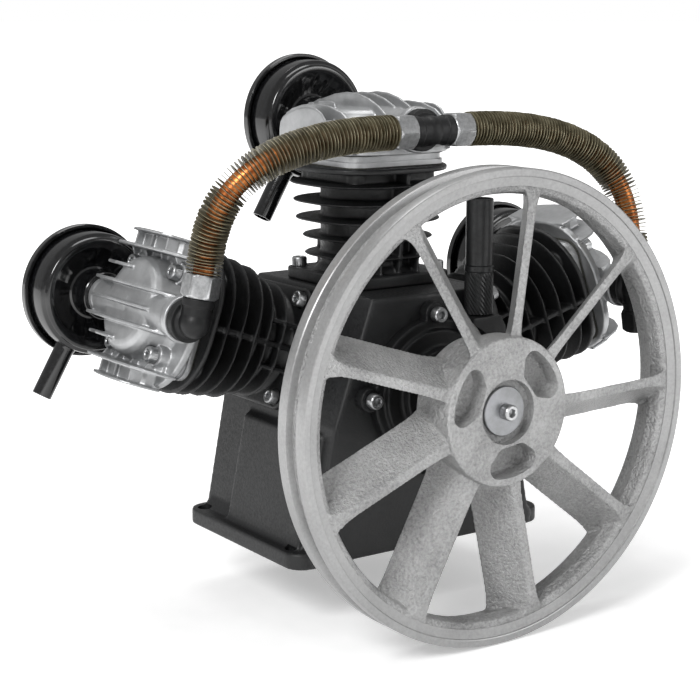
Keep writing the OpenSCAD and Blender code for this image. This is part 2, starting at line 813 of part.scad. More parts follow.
module head(i) {
    second_share = 0.78;
    middle_share = 0.25;
    short_share = 0.49;
    neck_share = 0.84;
    ring_share = 0.07;
    outer_x = fin_w / 2 - head_fin_t / 2;
    second_x = outer_x * second_share;
    middle_x = outer_x * middle_share;
    short_x = outer_x * short_share;
    // Reach of the fins along the crank, to the back and to the front
    outer_reach = fin_w * [0.33, 0.27];
    second_reach = fin_w * [0.46, 0.42];
    middle_reach = fin_w * [0.49, 0.46];
    short_reach = fin_w * [0.4, -0.02];
    inside_d = dome_d - 2 * head_wall;
    inside_h = dome_h + head_flange_t - head_wall;
    color(ALLOY) at_cylinder(i) difference() {
        union() {
            translate([0, 0, head_d]) fin(fin_w, head_flange_t);
            translate([0, 0, flange_d]) cylinder(d = dome_d, h = dome_h);
            translate([0, 0, head_d]) four(head_screw_pitch, head_screw_pitch)
                cylinder(r = head_pillar_r, h = head_flange_t + screw_seat_h);
            translate([0, 0, port_axis_d]) rotate([90, 0, 0]) {
                translate([0, 0, -inlet_reach]) cylinder(d = inlet_boss_d, h = inlet_reach);
                cylinder(d = outlet_boss_d * neck_share, h = outlet_reach);
                translate([0, 0, outlet_reach * (1 - ring_share)])
                    cylinder(d = outlet_boss_d, h = outlet_reach * ring_share);
            }
            for (s = [-1, 1]) {
                head_fin(s * outer_x, outer_reach, outer_fin_h);
                head_fin(s * second_x, second_reach, outer_fin_h);
                head_fin(s * middle_x, middle_reach, middle_fin_h);
                head_fin(s * short_x, short_reach, dome_h + 2 * head_fin_t);
            }
            head_fin(0, middle_reach, middle_fin_h);
        }
        // Inlet and outlet rooms, parted by a wall
        for (s = [-1, 1]) translate([0, 0, head_d - overrun]) intersection() {
            cylinder(d = inside_d, h = inside_h + overrun);
            translate([-inside_d / 2, s > 0 ? head_wall / 2 : -inside_d, 0])
                cube([inside_d, inside_d - head_wall / 2, inside_h + overrun]);
        }
        translate([0, 0, port_axis_d]) rotate([90, 0, 0]) {
            translate([0, 0, -inlet_reach - overrun]) cylinder(d = port_d, h = inlet_reach / 2);
            translate([0, 0, outlet_reach / 2]) cylinder(d = port_d, h = outlet_reach / 2 + overrun);
        }
        translate([0, 0, flange_d + screw_seat_h]) four(head_screw_pitch, head_screw_pitch) {
            screw_hole(head_flange_t + screw_seat_h + overrun);
            cylinder(d = screw_head_d + 2 * soft_gap, h = middle_fin_h);
        }
    }
}

module head_screws() {
    grip_share = 0.75;
    shank = screw_seat_h + head_flange_t + valve_plate_t + 2 * gasket_t + fin_pitch * grip_share;
    color(STEEL) for (i = ROWS) at_cylinder(i) translate([0, 0, flange_d + screw_seat_h])
        four(head_screw_pitch, head_screw_pitch) cap_screw(shank);
}

// Local frame at a wrist pin
module at_wrist(i) {
    at_cylinder(i) translate([0, 0, pin_at(i)]) children();
}

piston_d = bore_d - 2 * slide_gap;
ring_pitch_share = 2.4;
ring_pitch = ring_h * ring_pitch_share;
groove_floor_share = 0.88;
groove_floor = bore_d * groove_floor_share;

module piston(i) {
    crown_t = 8;
    skirt_wall = 4;
    rod_gap_w = 26;
    boss_share = 1.8;
    inner_d = piston_d - 2 * skirt_wall;
    color("#b4b5b6") at_wrist(i) difference() {
        translate([0, 0, -skirt_h]) cylinder(d = piston_d, h = skirt_h + crown_h);
        translate([0, 0, -skirt_h - overrun])
            cylinder(d = groove_floor - 2 * skirt_wall, h = skirt_h + crown_h - crown_t + overrun);
        translate([0, 0, -skirt_h - overrun]) cylinder(d = inner_d, h = skirt_h - wrist_d + overrun);
        rotate([90, 0, 0]) cylinder(d = wrist_d + 2 * run_gap, h = bore_d + overrun, center = true);
        for (k = [1:3]) translate([0, 0, crown_h - k * ring_pitch - run_gap]) difference() {
            cylinder(d = bore_d, h = ring_h + 2 * run_gap);
            cylinder(d = groove_floor, h = ring_h + 2 * run_gap);
        }
    }
    color("#b4b5b6") at_wrist(i) for (s = [-1, 1]) difference() {
        intersection() {
            rotate([s * 90, 0, 0]) translate([0, 0, rod_gap_w / 2])
                cylinder(d = wrist_d * boss_share, h = bore_d / 2 - rod_gap_w / 2);
            cylinder(d = groove_floor - 2 * skirt_wall + overrun, h = 2 * wrist_d, center = true);
        }
        rotate([90, 0, 0]) cylinder(d = wrist_d + 2 * run_gap, h = bore_d, center = true);
    }
}

module rings(i) {
    color("#77777a") at_wrist(i) for (k = [1:3]) translate([0, 0, crown_h - k * ring_pitch])
        difference() {
            cylinder(d = bore_d - 2 * run_gap, h = ring_h);
            translate([0, 0, -overrun])
                cylinder(d = groove_floor + 2 * run_gap, h = ring_h + 2 * overrun);
        }
}

module wrist_pin(i) {
    pin_share = 0.9;
    color(STEEL) at_wrist(i) rotate([90, 0, 0])
        cylinder(d = wrist_d, h = bore_d * pin_share, center = true);
}

module rod(i) {
    small_end_w = 24;
    shank_w = 16;
    shank_t = 12;
    end_wall = 5;
    reach_share = 0.26;
    end_r = wrist_d / 2 + end_wall;
    reach = crown_h + stroke * reach_share;
    color("#8f8f8c") at_wrist(i) rotate([0, swing_at(i), 0]) difference() {
        union() {
            rotate([90, 0, 0]) cylinder(r = end_r, h = small_end_w, center = true);
            translate([-shank_w / 2, -shank_t / 2, -reach]) cube([shank_w, shank_t, reach]);
        }
        rotate([90, 0, 0]) cylinder(d = wrist_d + 2 * run_gap, h = 2 * small_end_w, center = true);
    }
}

drum_wall = 1.6;
dish_share = 0.36;
drum_front = inlet_reach + neck_l;
drum_back = drum_front + drum_l;

// Steel drum with a dished face and a snorkel, its axis along the crank
module filter_body(i) {
    dish_depth = drum_l * dish_share;
    dish_d_share = 0.8;
    dish_d = drum_d * dish_d_share;
    rim_w = 5;
    snorkel_mid = drum_front + drum_l / 2;
    cup = snorkel_d - 2 * drum_wall;
    color(BLACK) translate(port_place(i)) difference() {
        union() {
            rotate([-90, 0, 0]) rotate_extrude() polygon([
                [port_d / 2 + drum_wall, inlet_reach], [neck_d / 2, inlet_reach],
                [neck_d / 2, drum_front + dish_depth],
                [dish_d / 2 - dish_depth, drum_front + dish_depth], [dish_d / 2, drum_front + drum_wall],
                [dish_d / 2 + rim_w, drum_front], [drum_d / 2 - rim_w / 2, drum_front],
                [drum_d / 2, drum_front + rim_w / 2], [drum_d / 2, drum_back],
                [drum_d / 2 - drum_wall, drum_back], [drum_d / 2 - drum_wall, drum_front + rim_w],
                [dish_d / 2 + rim_w, drum_front + 2 * drum_wall],
                [dish_d / 2, drum_front + 3 * drum_wall],
                [dish_d / 2 - dish_depth, drum_front + dish_depth + drum_wall],
                [port_d / 2 + drum_wall, drum_front + dish_depth + drum_wall]
            ]);
            rotate([0, 180 + snorkel_lean, 0]) translate([0, snorkel_mid, drum_d / 2 - 2 * drum_wall])
                cylinder(d = snorkel_d, h = snorkel_reach - drum_d / 2 + 2 * drum_wall);
        }
        rotate([0, 180 + snorkel_lean, 0]) translate([0, snorkel_mid, drum_d / 2 - 4 * drum_wall])
            cylinder(d = cup, h = snorkel_reach);
    }
}

// Middle of a head's port axis, in the frame of the part
function port_place(i) = [port_axis_d * sin(tilt_of[i]), row_of[i],
                          crank_h + port_axis_d * cos(tilt_of[i])];

module filter_cover(i) {
    rim_t = 5;
    crown = 10;
    crown_share = 0.72;
    crown_d = drum_d * crown_share;
    color(BLACK) translate(port_place(i)) rotate([-90, 0, 0]) rotate_extrude() polygon([
        [0, drum_back + crown - drum_wall], [crown_d / 2, drum_back + crown - drum_wall],
        [drum_d / 2 - drum_wall, drum_back + drum_wall], [drum_d / 2 + drum_wall, drum_back],
        [drum_d / 2 + drum_wall, drum_back - rim_t], [drum_rim_d / 2, drum_back - rim_t],
        [drum_rim_d / 2, drum_back + drum_wall], [drum_d / 2, drum_back + 2 * drum_wall],
        [crown_d / 2, drum_back + crown], [0, drum_back + crown]
    ]);
}

module filter_elements() {
    inner_share = 0.45;
    outer_share = 0.78;
    start = drum_front + drum_l * dish_share + drum_wall + hair;
    color("#8d8a7c") for (i = ROWS) translate(port_place(i)) rotate([-90, 0, 0])
        translate([0, 0, start]) difference() {
            cylinder(d = drum_d * outer_share, h = drum_back - start);
            translate([0, 0, -overrun])
                cylinder(d = drum_d * inner_share, h = drum_back - start + 2 * overrun);
        }
}

// Stub that joins a fitting's run to the outlet boss of a head
module fitting_leg(out) {
    disc_share = 0.9;
    leg_share = 0.92;
    disc_t = 8;
    translate([0, 0, outlet_reach]) cylinder(d = outlet_boss_d * disc_share, h = disc_t);
    translate([0, 0, outlet_reach]) cylinder(d = run_d * leg_share, h = out);
    translate([0, 0, outlet_reach - disc_t]) cylinder(d = port_d - 2 * seat_gap, h = disc_t);
}

// Shares of the bore in a fitting's leg, and of the nut that a stub fills
leg_bore_share = 0.9;
stub_share = 0.4;
stub_l = nut_l * stub_share;

// Place where a fitting's run crosses its leg
function run_place(i, out) = port_place(i) - [0, outlet_reach + out, 0];

module elbow_left() {
    start_share = 0.3;
    knuckle_share = 0.55;
    bore_start = pipe_bore * start_share;
    knuckle = run_d * knuckle_share;
    color(BLACK) difference() {
        union() {
            translate(port_place(LEFT)) rotate([90, 0, 0]) fitting_leg(fitting_out);
            translate(run_place(LEFT, fitting_out)) {
                rotate([0, elbow_lean, 0]) translate([0, 0, -knuckle])
                    cylinder(d = run_d, h = tee_half + knuckle);
                rotate([0, elbow_lean, 0]) translate([0, 0, tee_half])
                    cylinder(d = pipe_d, h = stub_l);
            }
        }
        translate(run_place(LEFT, fitting_out)) rotate([0, elbow_lean, 0])
            translate([0, 0, -bore_start]) cylinder(d = pipe_bore, h = tee_half + nut_l);
        translate(port_place(LEFT)) rotate([90, 0, 0]) translate([0, 0, outlet_reach - nut_l])
            cylinder(d = pipe_bore * leg_bore_share, h = nut_l + fitting_out + bore_start);
    }
}

// A tee whose run turns about the leg: 90 lies level, 0 stands upright
module tee(i, turn, out) {
    color(BLACK) difference() {
        union() {
            translate(port_place(i)) rotate([90, 0, 0]) fitting_leg(out);
            translate(run_place(i, out)) rotate([0, turn, 0]) {
                cylinder(d = run_d, h = 2 * tee_half, center = true);
                cylinder(d = pipe_d, h = 2 * (tee_half + stub_l), center = true);
            }
        }
        translate(run_place(i, out)) rotate([0, turn, 0])
            cylinder(d = pipe_bore, h = 2 * (tee_half + nut_l), center = true);
        translate(port_place(i)) rotate([90, 0, 0]) translate([0, 0, outlet_reach - nut_l])
            cylinder(d = pipe_bore * leg_bore_share, h = nut_l + out);
    }
}

module pipe_nut() {
    difference() {
        cylinder(d = nut_af / cos(30), h = nut_l, $fn = 6);
        translate([0, 0, -overrun]) cylinder(d = pipe_d + 2 * run_gap, h = nut_l + 2 * overrun);
    }
}

module pipe_nuts() {
    mouth_share = 0.42;
    color(STEEL) {
        translate(run_place(LEFT, fitting_out)) rotate([0, elbow_lean, 0])
            translate([0, 0, tee_half]) pipe_nut();
        for (turn = [-90, 90]) translate(run_place(CENTER, fitting_out)) rotate([0, turn, 0])
            translate([0, 0, tee_half]) pipe_nut();
        translate(run_place(RIGHT, fitting_out)) rotate([0, -tee_lean, 0]) {
            translate([0, 0, tee_half]) pipe_nut();
            rotate([180, 0, 0]) translate([0, 0, tee_half]) difference() {
                pipe_nut();
                translate([0, 0, nut_l * mouth_share]) cylinder(d = delivery_d, h = nut_l);
            }
        }
    }
}

// A pipe's middle line: a short straight end, a smooth bend and a straight end again
nut_out = tee_half + nut_l;
stub_in_share = 0.55;
stub_in = nut_l * stub_in_share;
straight_out = pipe_d / 3;
left_pull = run_d * [6.9, 1.4];
right_pull = run_d * [7.5, 1.05];

function bezier(a, b, c, d, t) =
    pow(1 - t, 3) * a + 3 * pow(1 - t, 2) * t * b + 3 * (1 - t) * t * t * c + pow(t, 3) * d;

function pipe_bend(a, da, b, db, pull, n) =
    let (sa = a + da * straight_out, sb = b + db * straight_out)
    [for (k = [0:n]) bezier(sa, sa + da * pull[0], sb + db * pull[1], sb, k / n)];

function unit(v) = v / norm(v);

// Direction of the line at each of its points
function heading(p, k) = k == 0 ? unit(p[1] - p[0])
    : k == len(p) - 1 ? unit(p[k] - p[k - 1]) : unit(p[k + 1] - p[k - 1]);

// Rings of points round the line, each with its own radius
sides = 8;
function ring_points(p, k, r) =
    let (t = heading(p, k), u = unit(cross(t, [0, -1, 0])), v = cross(t, u))
    [for (s = [0:sides - 1]) p[k] + r * (cos(s * 360 / sides) * u + sin(s * 360 / sides) * v)];

module tube(p, radii, bore_r) {
    n = len(p);
    outer = [for (k = [0:n - 1]) each ring_points(p, k, radii[k])];
    inner = [for (k = [0:n - 1]) each ring_points(p, k, bore_r)];
    points = concat(outer, inner);
    first = n * sides;
    faces = concat(
        [for (k = [0:n - 2], s = [0:sides - 1]) let (a = k * sides + s, b = k * sides + (s + 1) % sides)
            each [[a, b, b + sides], [a, b + sides, a + sides]]],
        [for (k = [0:n - 2], s = [0:sides - 1]) let (a = first + k * sides + s,
            b = first + k * sides + (s + 1) % sides) each [[b, a, a + sides], [b, a + sides, b + sides]]],
        [for (s = [0:sides - 1]) let (a = s, b = (s + 1) % sides)
            each [[b, a, first + a], [b, first + a, first + b]]],
        [for (s = [0:sides - 1]) let (a = (n - 1) * sides + s, b = (n - 1) * sides + (s + 1) % sides)
            each [[a, b, first + b], [a, first + b, first + a]]]);
    polyhedron(points, faces);
}

// Distance along a line up to each of its points
function run_lengths(p) = [for (k = 0, s = 0; k < len(p);
    k = k + 1, s = s + (k < len(p) ? norm(p[k] - p[k - 1]) : 0)) s];

// Point of a line at a distance along it
function along(p, s, d) = [for (c = [0:2]) lookup(d, [for (k = [0:len(p) - 1]) [s[k], p[k][c]]])];

module finned_pipe(a, da, b, db, pull) {
    rough = pipe_bend(a, da, b, db, pull, 64);
    s = run_lengths(rough);
    length = s[len(s) - 1];
    steps = 2 * floor(length / pipe_fin_pitch);
    line = concat([a - da * stub_in, a],
                  [for (k = [0:steps]) along(rough, s, length * k / steps)],
                  [b, b - db * stub_in]);
    radii = [for (k = [0:len(line) - 1])
        k < 2 || k > len(line) - 3 ? pipe_d / 2 - run_gap : k % 2 == 0 ? pipe_d / 2 : pipe_fin_d / 2];
    color(COPPER) tube(line, radii, pipe_bore / 2);
}

module pipe_left() {
    lean = [sin(elbow_lean), 0, cos(elbow_lean)];
    finned_pipe(run_place(CENTER, fitting_out) - [nut_out, 0, 0], [-1, 0, 0],
                run_place(LEFT, fitting_out) + nut_out * lean, lean, left_pull);
}

module pipe_right() {
    lean = [-sin(tee_lean), 0, cos(tee_lean)];
    finned_pipe(run_place(CENTER, fitting_out) + [nut_out, 0, 0], [1, 0, 0],
                run_place(RIGHT, fitting_out) + nut_out * lean, lean, right_pull);
}

crankcase();
front_cover();
rear_cover();
cover_gaskets();
cover_screws();
front_bearing();
rear_bearing();
shaft_seal();
sight_glass();
drain_plug();
breather_body();
breather_tube();
crankshaft();
rod_big_ends();
flywheel();
flywheel_key();
flywheel_washer();
flywheel_bolt();
cylinder_body(LEFT);  // cylinder_left
cylinder_body(CENTER);  // cylinder_center
cylinder_body(RIGHT);  // cylinder_right
cylinder_gaskets();
cylinder_screws();
valve_plate(LEFT);  // valve_plate_left
valve_plate(CENTER);  // valve_plate_center
valve_plate(RIGHT);  // valve_plate_right
head_gaskets();
head(LEFT);  // head_left
head(CENTER);  // head_center
head(RIGHT);  // head_right
head_screws();
piston(LEFT);  // piston_left
piston(CENTER);  // piston_center
piston(RIGHT);  // piston_right
rings(LEFT);  // rings_left
rings(CENTER);  // rings_center
rings(RIGHT);  // rings_right
wrist_pin(LEFT);  // wrist_pin_left
wrist_pin(CENTER);  // wrist_pin_center
wrist_pin(RIGHT);  // wrist_pin_right
rod(LEFT);  // rod_left
rod(CENTER);  // rod_center
rod(RIGHT);  // rod_right
filter_body(LEFT);  // filter_body_left
filter_body(CENTER);  // filter_body_center
filter_body(RIGHT);  // filter_body_right
filter_cover(LEFT);  // filter_cover_left
filter_cover(CENTER);  // filter_cover_center
filter_cover(RIGHT);  // filter_cover_right
filter_elements();
elbow_left();
tee(CENTER, 90, fitting_out);  // tee_center
tee(RIGHT, -tee_lean, fitting_out);  // tee_right
pipe_nuts();
pipe_left();
pipe_right();
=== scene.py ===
import math
import random

import bmesh
import bpy
from mathutils import Matrix, Vector


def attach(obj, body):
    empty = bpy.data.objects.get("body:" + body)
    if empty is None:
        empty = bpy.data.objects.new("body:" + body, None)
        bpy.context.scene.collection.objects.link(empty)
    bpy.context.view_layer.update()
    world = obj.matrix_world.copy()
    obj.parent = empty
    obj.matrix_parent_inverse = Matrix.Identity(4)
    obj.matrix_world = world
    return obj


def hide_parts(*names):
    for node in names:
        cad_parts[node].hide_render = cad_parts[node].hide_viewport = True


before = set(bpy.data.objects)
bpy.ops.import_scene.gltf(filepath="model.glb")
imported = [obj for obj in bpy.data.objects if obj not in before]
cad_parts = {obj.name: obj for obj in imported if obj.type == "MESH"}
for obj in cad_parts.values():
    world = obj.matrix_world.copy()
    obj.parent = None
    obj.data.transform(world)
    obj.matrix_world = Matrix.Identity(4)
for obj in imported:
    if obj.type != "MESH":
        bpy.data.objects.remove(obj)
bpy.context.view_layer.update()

MM = 0.001
ALONG_Y = Matrix.Rotation(math.radians(90), 4, "X")
ACROSS = Matrix(((0, 0, 1, 0), (1, 0, 0, 0), (0, 1, 0, 0), (0, 0, 0, 1)))

# Sizes of the compressor pump in millimetres, as in its solids
CRANK_H = 136.4
SIDE_TILT = 70.5
ROW_PITCH = 34
TILTS = {"left": -SIDE_TILT, "center": 0, "right": SIDE_TILT}
ROWS = {"left": ROW_PITCH, "center": 0, "right": -ROW_PITCH}
FOOT_TOP, DECK, FLANGE_TOP, SCREW_SEAT = 90.5, 180, 198, 207.1
FOOT_SCREWS, HEAD_SCREWS, COVER_SCREWS_R = 84, 68, 64
BORE_R, BARREL_R, FIN_PITCH = 32.5, 40, 15.2
PORT_AXIS = 212
RIM_R, HUB_R, HUB_FRONT, HUB_L = 190, 59.5, 192, 50
FITTING_Y = 87
NUT_SEAT, NUT_L = 19, 19
NUT_OUT = NUT_SEAT + NUT_L
CASE_END, COVER_FACE = 88, 98
LEFT_LEAN, RIGHT_LEAN, OUTLET_LEAN = 12, -9.5, 170.5
AXIS = 0.01


def on_crank(spin=0):
    """Crank axis frame: +Z towards the flywheel, +Y up, turned about the crank."""
    return Matrix.Translation((0, 0, CRANK_H)) @ ALONG_Y @ Matrix.Rotation(math.radians(spin), 4, "Z")


def at_cylinder(row):
    """Cylinder frame: +Z out along the cylinder, +Y along the crank."""
    return Matrix.Translation((0, ROWS[row], CRANK_H)) @ Matrix.Rotation(math.radians(TILTS[row]), 4, "Y")


def port_place(row):
    lean = math.radians(TILTS[row])
    return Vector((PORT_AXIS * math.sin(lean), ROWS[row], CRANK_H + PORT_AXIS * math.cos(lean)))


def at_port(row, turn=90):
    """Port frame: +Z towards the viewer's side at 90 degrees, towards the filters at -90."""
    return Matrix.Translation(port_place(row)) @ Matrix.Rotation(math.radians(turn), 4, "X")


def run_place(row):
    return port_place(row) - Vector((0, FITTING_Y, 0))


def at_run(row, lean):
    """Frame of a fitting's run, leaning about the port axis, +Z along the run."""
    return Matrix.Translation(run_place(row)) @ Matrix.Rotation(math.radians(lean), 4, "Y")


# Skins: closed surfaces as lists of points and faces

class Skins:
    """Closed skins of one piece, each with the number of its material."""

    def __init__(self):
        self.points, self.faces, self.finishes = [], [], []

    def add(self, skin, place=None, finish=0):
        points, faces = skin
        first = len(self.points)
        self.points += [tuple(place @ Vector(p)) if place else tuple(p) for p in points]
        self.faces += [[first + i for i in f] for f in faces]
        self.finishes += [finish] * len(faces)
        return self

    def mesh(self, name, place=None):
        mesh = bpy.data.meshes.new(name)
        mesh.from_pydata([Vector(p) * MM for p in self.points], [], self.faces)
        mesh.polygons.foreach_set("material_index", self.finishes)
        if place:
            mesh.transform(Matrix.Scale(MM, 4) @ place @ Matrix.Scale(1 / MM, 4))
        work = bmesh.new()
        work.from_mesh(mesh)
        bmesh.ops.recalc_face_normals(work, faces=work.faces)
        work.to_mesh(mesh)
        work.free()
        return mesh


def lofted(rings, closed=False):
    """Skin through rings of equal count, capped at both ends unless it closes on itself."""
    n = len(rings[0])
    points = [p for ring in rings for p in ring]
    faces = []
    for k in range(len(rings) if closed else len(rings) - 1):
        a, b = k * n, (k + 1) % len(rings) * n
        faces += [(a + s, a + (s + 1) % n, b + (s + 1) % n, b + s) for s in range(n)]
    if not closed:
        faces += [tuple(range(n - 1, -1, -1)), tuple(range(len(points) - n, len(points)))]
    return points, faces


def turned(profile, steps=64, closed=True):
    """Lathe work: a profile of radius and height turned about Z. A closed profile makes a ring."""
    rings = [[(r * math.cos(2 * math.pi * s / steps), r * math.sin(2 * math.pi * s / steps), z)
              for s in range(steps)] for r, z in profile]
    return lofted(rings, closed)


def circle(r, z, steps):
    return [(r * math.cos(2 * math.pi * s / steps), r * math.sin(2 * math.pi * s / steps), z)
            for s in range(steps)]


def hexagon(af, z, steps, phase=0):
    """Ring of points on a hexagon, the same count as the circle it is lofted to."""
    ring = []
    for s in range(steps):
        a = 2 * math.pi * s / steps
        off = (a - phase + math.pi / 6) % (math.pi / 3) - math.pi / 6
        r = af / 2 / math.cos(off)
        ring.append((r * math.cos(a), r * math.sin(a), z))
    return ring


def squared(w, l, r, z, steps=10):
    """Ring of points on a square with rounded corners."""
    r = max(min(r, w / 2 - 0.01, l / 2 - 0.01), 0.01)
    ring = []
    for cx, cy, start in ((1, 1, 0), (-1, 1, 90), (-1, -1, 180), (1, -1, 270)):
        for s in range(steps + 1):
            a = math.radians(start + 90 * s / steps)
            ring.append((cx * (w / 2 - r) + r * math.cos(a), cy * (l / 2 - r) + r * math.sin(a), z))
    return ring


def plate(w, l, r, low, high, ease=0.8):
    """Flat plate with rounded corners and eased edges."""
    levels = [(low, ease), (low + 0.3 * ease, 0.3 * ease), (low + ease, 0),
              (high - ease, 0), (high - 0.3 * ease, 0.3 * ease), (high, ease)]
    return lofted([squared(w - 2 * i, l - 2 * i, r - i, z) for z, i in levels])


def drawn(outline, low, high, ease=0.0):
    """A flat outline drawn up from low to high, its edges eased by shrinking towards its middle."""
    n = len(outline)
    cx, cy = sum(p[0] for p in outline) / n, sum(p[1] for p in outline) / n

    def shrunk(i, z):
        ring = []
        for x, y in outline:
            d = math.hypot(x - cx, y - cy) or 1
            k = max(0, 1 - i / d)
            ring.append((cx + (x - cx) * k, cy + (y - cy) * k, z))
        return ring
    if not ease:
        return lofted([shrunk(0, low), shrunk(0, high)])
    return lofted([shrunk(ease, low), shrunk(0, low + ease), shrunk(0, high - ease), shrunk(ease, high)])


def rod(r, low, high, steps=32, ease=0.0):
    if not ease:
        return lofted([circle(r, low, steps), circle(r, high, steps)])
    return lofted([circle(r - ease, low, steps), circle(r - 0.3 * ease, low + 0.3 * ease, steps),
                   circle(r, low + ease, steps), circle(r, high - ease, steps),
                   circle(r - 0.3 * ease, high - 0.3 * ease, steps), circle(r - ease, high, steps)])


def ball(r, centre=(0, 0, 0), steps=20):
    angles = [math.pi * k / steps for k in range(1, steps)]
    rings = [circle(r * math.sin(a), r * math.cos(a) + centre[2], 2 * steps) for a in angles]
    return lofted([[(x + centre[0], y + centre[1], z) for x, y, z in ring] for ring in rings])


# Bench work: from skins to finished pieces

def bench(name, mesh):
    """An object to work on, not yet a piece."""
    obj = bpy.data.objects.new(name, mesh)
    bpy.context.scene.collection.objects.link(obj)
    return obj


def settle(obj):
    """Makes the modifiers part of the mesh."""
    bpy.context.view_layer.update()
    mesh = bpy.data.meshes.new_from_object(obj.evaluated_get(bpy.context.evaluated_depsgraph_get()))
    old = obj.data
    obj.modifiers.clear()
    obj.data = mesh
    bpy.data.meshes.remove(old)
    return obj


def cast(name, skins, grain, ease=4):
    """Melts overlapping skins into one casting whose edges and corners are eased."""
    obj = bench(name, skins.mesh(name))
    melt = obj.modifiers.new("melt", "REMESH")
    melt.mode, melt.voxel_size = "VOXEL", grain * MM
    soften = obj.modifiers.new("soften", "SMOOTH")
    soften.factor, soften.iterations = 0.5, ease
    return settle(obj)


def machine(obj, cutters):
    """Cuts holes, seats and bores out of a casting."""
    tool = bench(obj.name + "_cutters", cutters.mesh(obj.name + "_cutters"))
    cut = obj.modifiers.new("cut", "BOOLEAN")
    cut.operation, cut.object, cut.solver, cut.use_self = "DIFFERENCE", tool, "EXACT", True
    settle(obj)
    bpy.data.objects.remove(tool)
    return obj


def thin(obj, keep):
    """Fewer faces where the surface is flat."""
    fewer = obj.modifiers.new("fewer", "DECIMATE")
    fewer.ratio = keep
    return settle(obj)


def piece(obj, body, finishes, instead=(), crease=38):
    """Gives a finished object its finishes, its body and the solids that it stands for."""
    mesh = obj.data
    mesh.materials.clear()
    for finish in finishes:
        mesh.materials.append(finish)
    mesh.shade_smooth()
    mesh.set_sharp_from_angle(angle=math.radians(crease))
    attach(obj, body)
    if instead:
        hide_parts(*instead)
    return obj


def copied(obj, name, place):
    """Another casting from the same mould, at its own place."""
    twin = bench(name, obj.data.copy())
    twin.data.transform(Matrix.Scale(MM, 4) @ place @ Matrix.Scale(1 / MM, 4))
    return twin


# Finishes

def linear(code):
    """sRGB hex colour to linear values."""
    parts = [int(code[i:i + 2], 16) / 255 for i in (1, 3, 5)]
    return tuple(p / 12.92 if p <= 0.04045 else ((p + 0.055) / 1.055) ** 2.4 for p in parts) + (1,)


def add(finish, kind, settings=(), **links):
    """Adds a node with its settings, and links its sockets to the outputs given."""
    node = finish.node_tree.nodes.new(kind)
    for key, value in dict(settings).items():
        if isinstance(key, int) or key in node.inputs:
            node.inputs[key].default_value = value
        else:
            setattr(node, key, value)
    for socket, output in links.items():
        target = int(socket[1:]) if socket[0] == "i" and socket[1:].isdigit() else socket.replace("_", " ")
        finish.node_tree.links.new(output, node.inputs[target])
    return node


def finish_start(name, roughness=0.5, metallic=0.0, **others):
    """A new finish: its shader and the coordinates of its piece in metres."""
    finish = bpy.data.materials.new(name)
    finish.use_nodes = True
    shader = finish.node_tree.nodes["Principled BSDF"]
    shader.inputs["Roughness"].default_value = roughness
    shader.inputs["Metallic"].default_value = metallic
    for key, value in others.items():
        shader.inputs[key.replace("_", " ")].default_value = value
    place = add(finish, "ShaderNodeTexCoord")
    return finish, shader, place.outputs["Object"]


def grains(size_mm):
    """Noise scale whose blotches are about that size."""
    return 1 / (size_mm * MM * 1.6)


def ramp(finish, source, stops):
    """Colour ramp through hex colours at their places."""
    node = add(finish, "ShaderNodeValToRGB", {}, Fac=source)
    band = node.color_ramp
    while len(band.elements) < len(stops):
        band.elements.new(0.5)
    for element, (at, code) in zip(band.elements, stops):
        element.position, element.color = at, linear(code)
    return node.outputs["Color"]


def spread(finish, source, low, high, to_low, to_high):
    """Maps a range of values onto another."""
    return add(finish, "ShaderNodeMapRange",
               {"From Min": low, "From Max": high, "To Min": to_low, "To Max": to_high},
               Value=source).outputs["Result"]


def wire(finish, output, shader, socket):
    finish.node_tree.links.new(output, shader.inputs[socket])


def sand_cast_enamel(name, dark, light, grit_mm, depth, rough_low, rough_high, metallic=0.0):
    """Enamel sprayed on a sand-cast surface: the sand's grit shows through, and its colour is lighter on the
    grit's peaks as painted speckled highlights.
    """
    finish, shader, place = finish_start(name, metallic=metallic)
    grit = add(finish, "ShaderNodeTexNoise", {"Scale": grains(grit_mm), "Detail": 5.0, "Roughness": 0.6},
                Vector=place)
    cloud = add(finish, "ShaderNodeTexNoise", {"Scale": grains(26), "Detail": 3.0}, Vector=place)
    grit_highlight_and_tone = add(finish, "ShaderNodeMath", {"operation": "MULTIPLY_ADD", 1: 0.55},
                i0=grit.outputs["Fac"], i2=spread(finish, cloud.outputs["Fac"], 0.3, 0.7, 0.15, 0.32))
    # Painted highlights: the base colour follows the grit's height, lighter on its peaks, with a slower
    # random tone on top.
    wire(finish, ramp(finish, grit_highlight_and_tone.outputs[0], [(0.36, dark), (0.66, light)]), shader, "Base Color")
    wire(finish, spread(finish, grit.outputs["Fac"], 0.35, 0.65, rough_low, rough_high), shader, "Roughness")
    bump = add(finish, "ShaderNodeBump", {"Strength": 0.9, "Distance": depth * MM},
               Height=grit.outputs["Fac"])
    wire(finish, bump.outputs["Normal"], shader, "Normal")
    return finish


def plain_metal(name, dark, light, blotch_mm, rough_low, rough_high, scratch_mm=0.6, depth=0.02):
    """Bare or plated metal: soft blotches in tone and gloss, and fine scratches."""
    finish, shader, place = finish_start(name, metallic=1.0)
    blotch = add(finish, "ShaderNodeTexNoise", {"Scale": grains(blotch_mm), "Detail": 4.0, "Roughness": 0.65},
                Vector=place)
    fine = add(finish, "ShaderNodeTexNoise", {"Scale": grains(scratch_mm), "Detail": 3.0}, Vector=place)
    wire(finish, ramp(finish, blotch.outputs["Fac"], [(0.34, dark), (0.66, light)]), shader, "Base Color")
    wire(finish, spread(finish, blotch.outputs["Fac"], 0.3, 0.7, rough_high, rough_low), shader, "Roughness")
    bump = add(finish, "ShaderNodeBump", {"Strength": 0.6, "Distance": depth * MM},
               Height=fine.outputs["Fac"])
    wire(finish, bump.outputs["Normal"], shader, "Normal")
    return finish


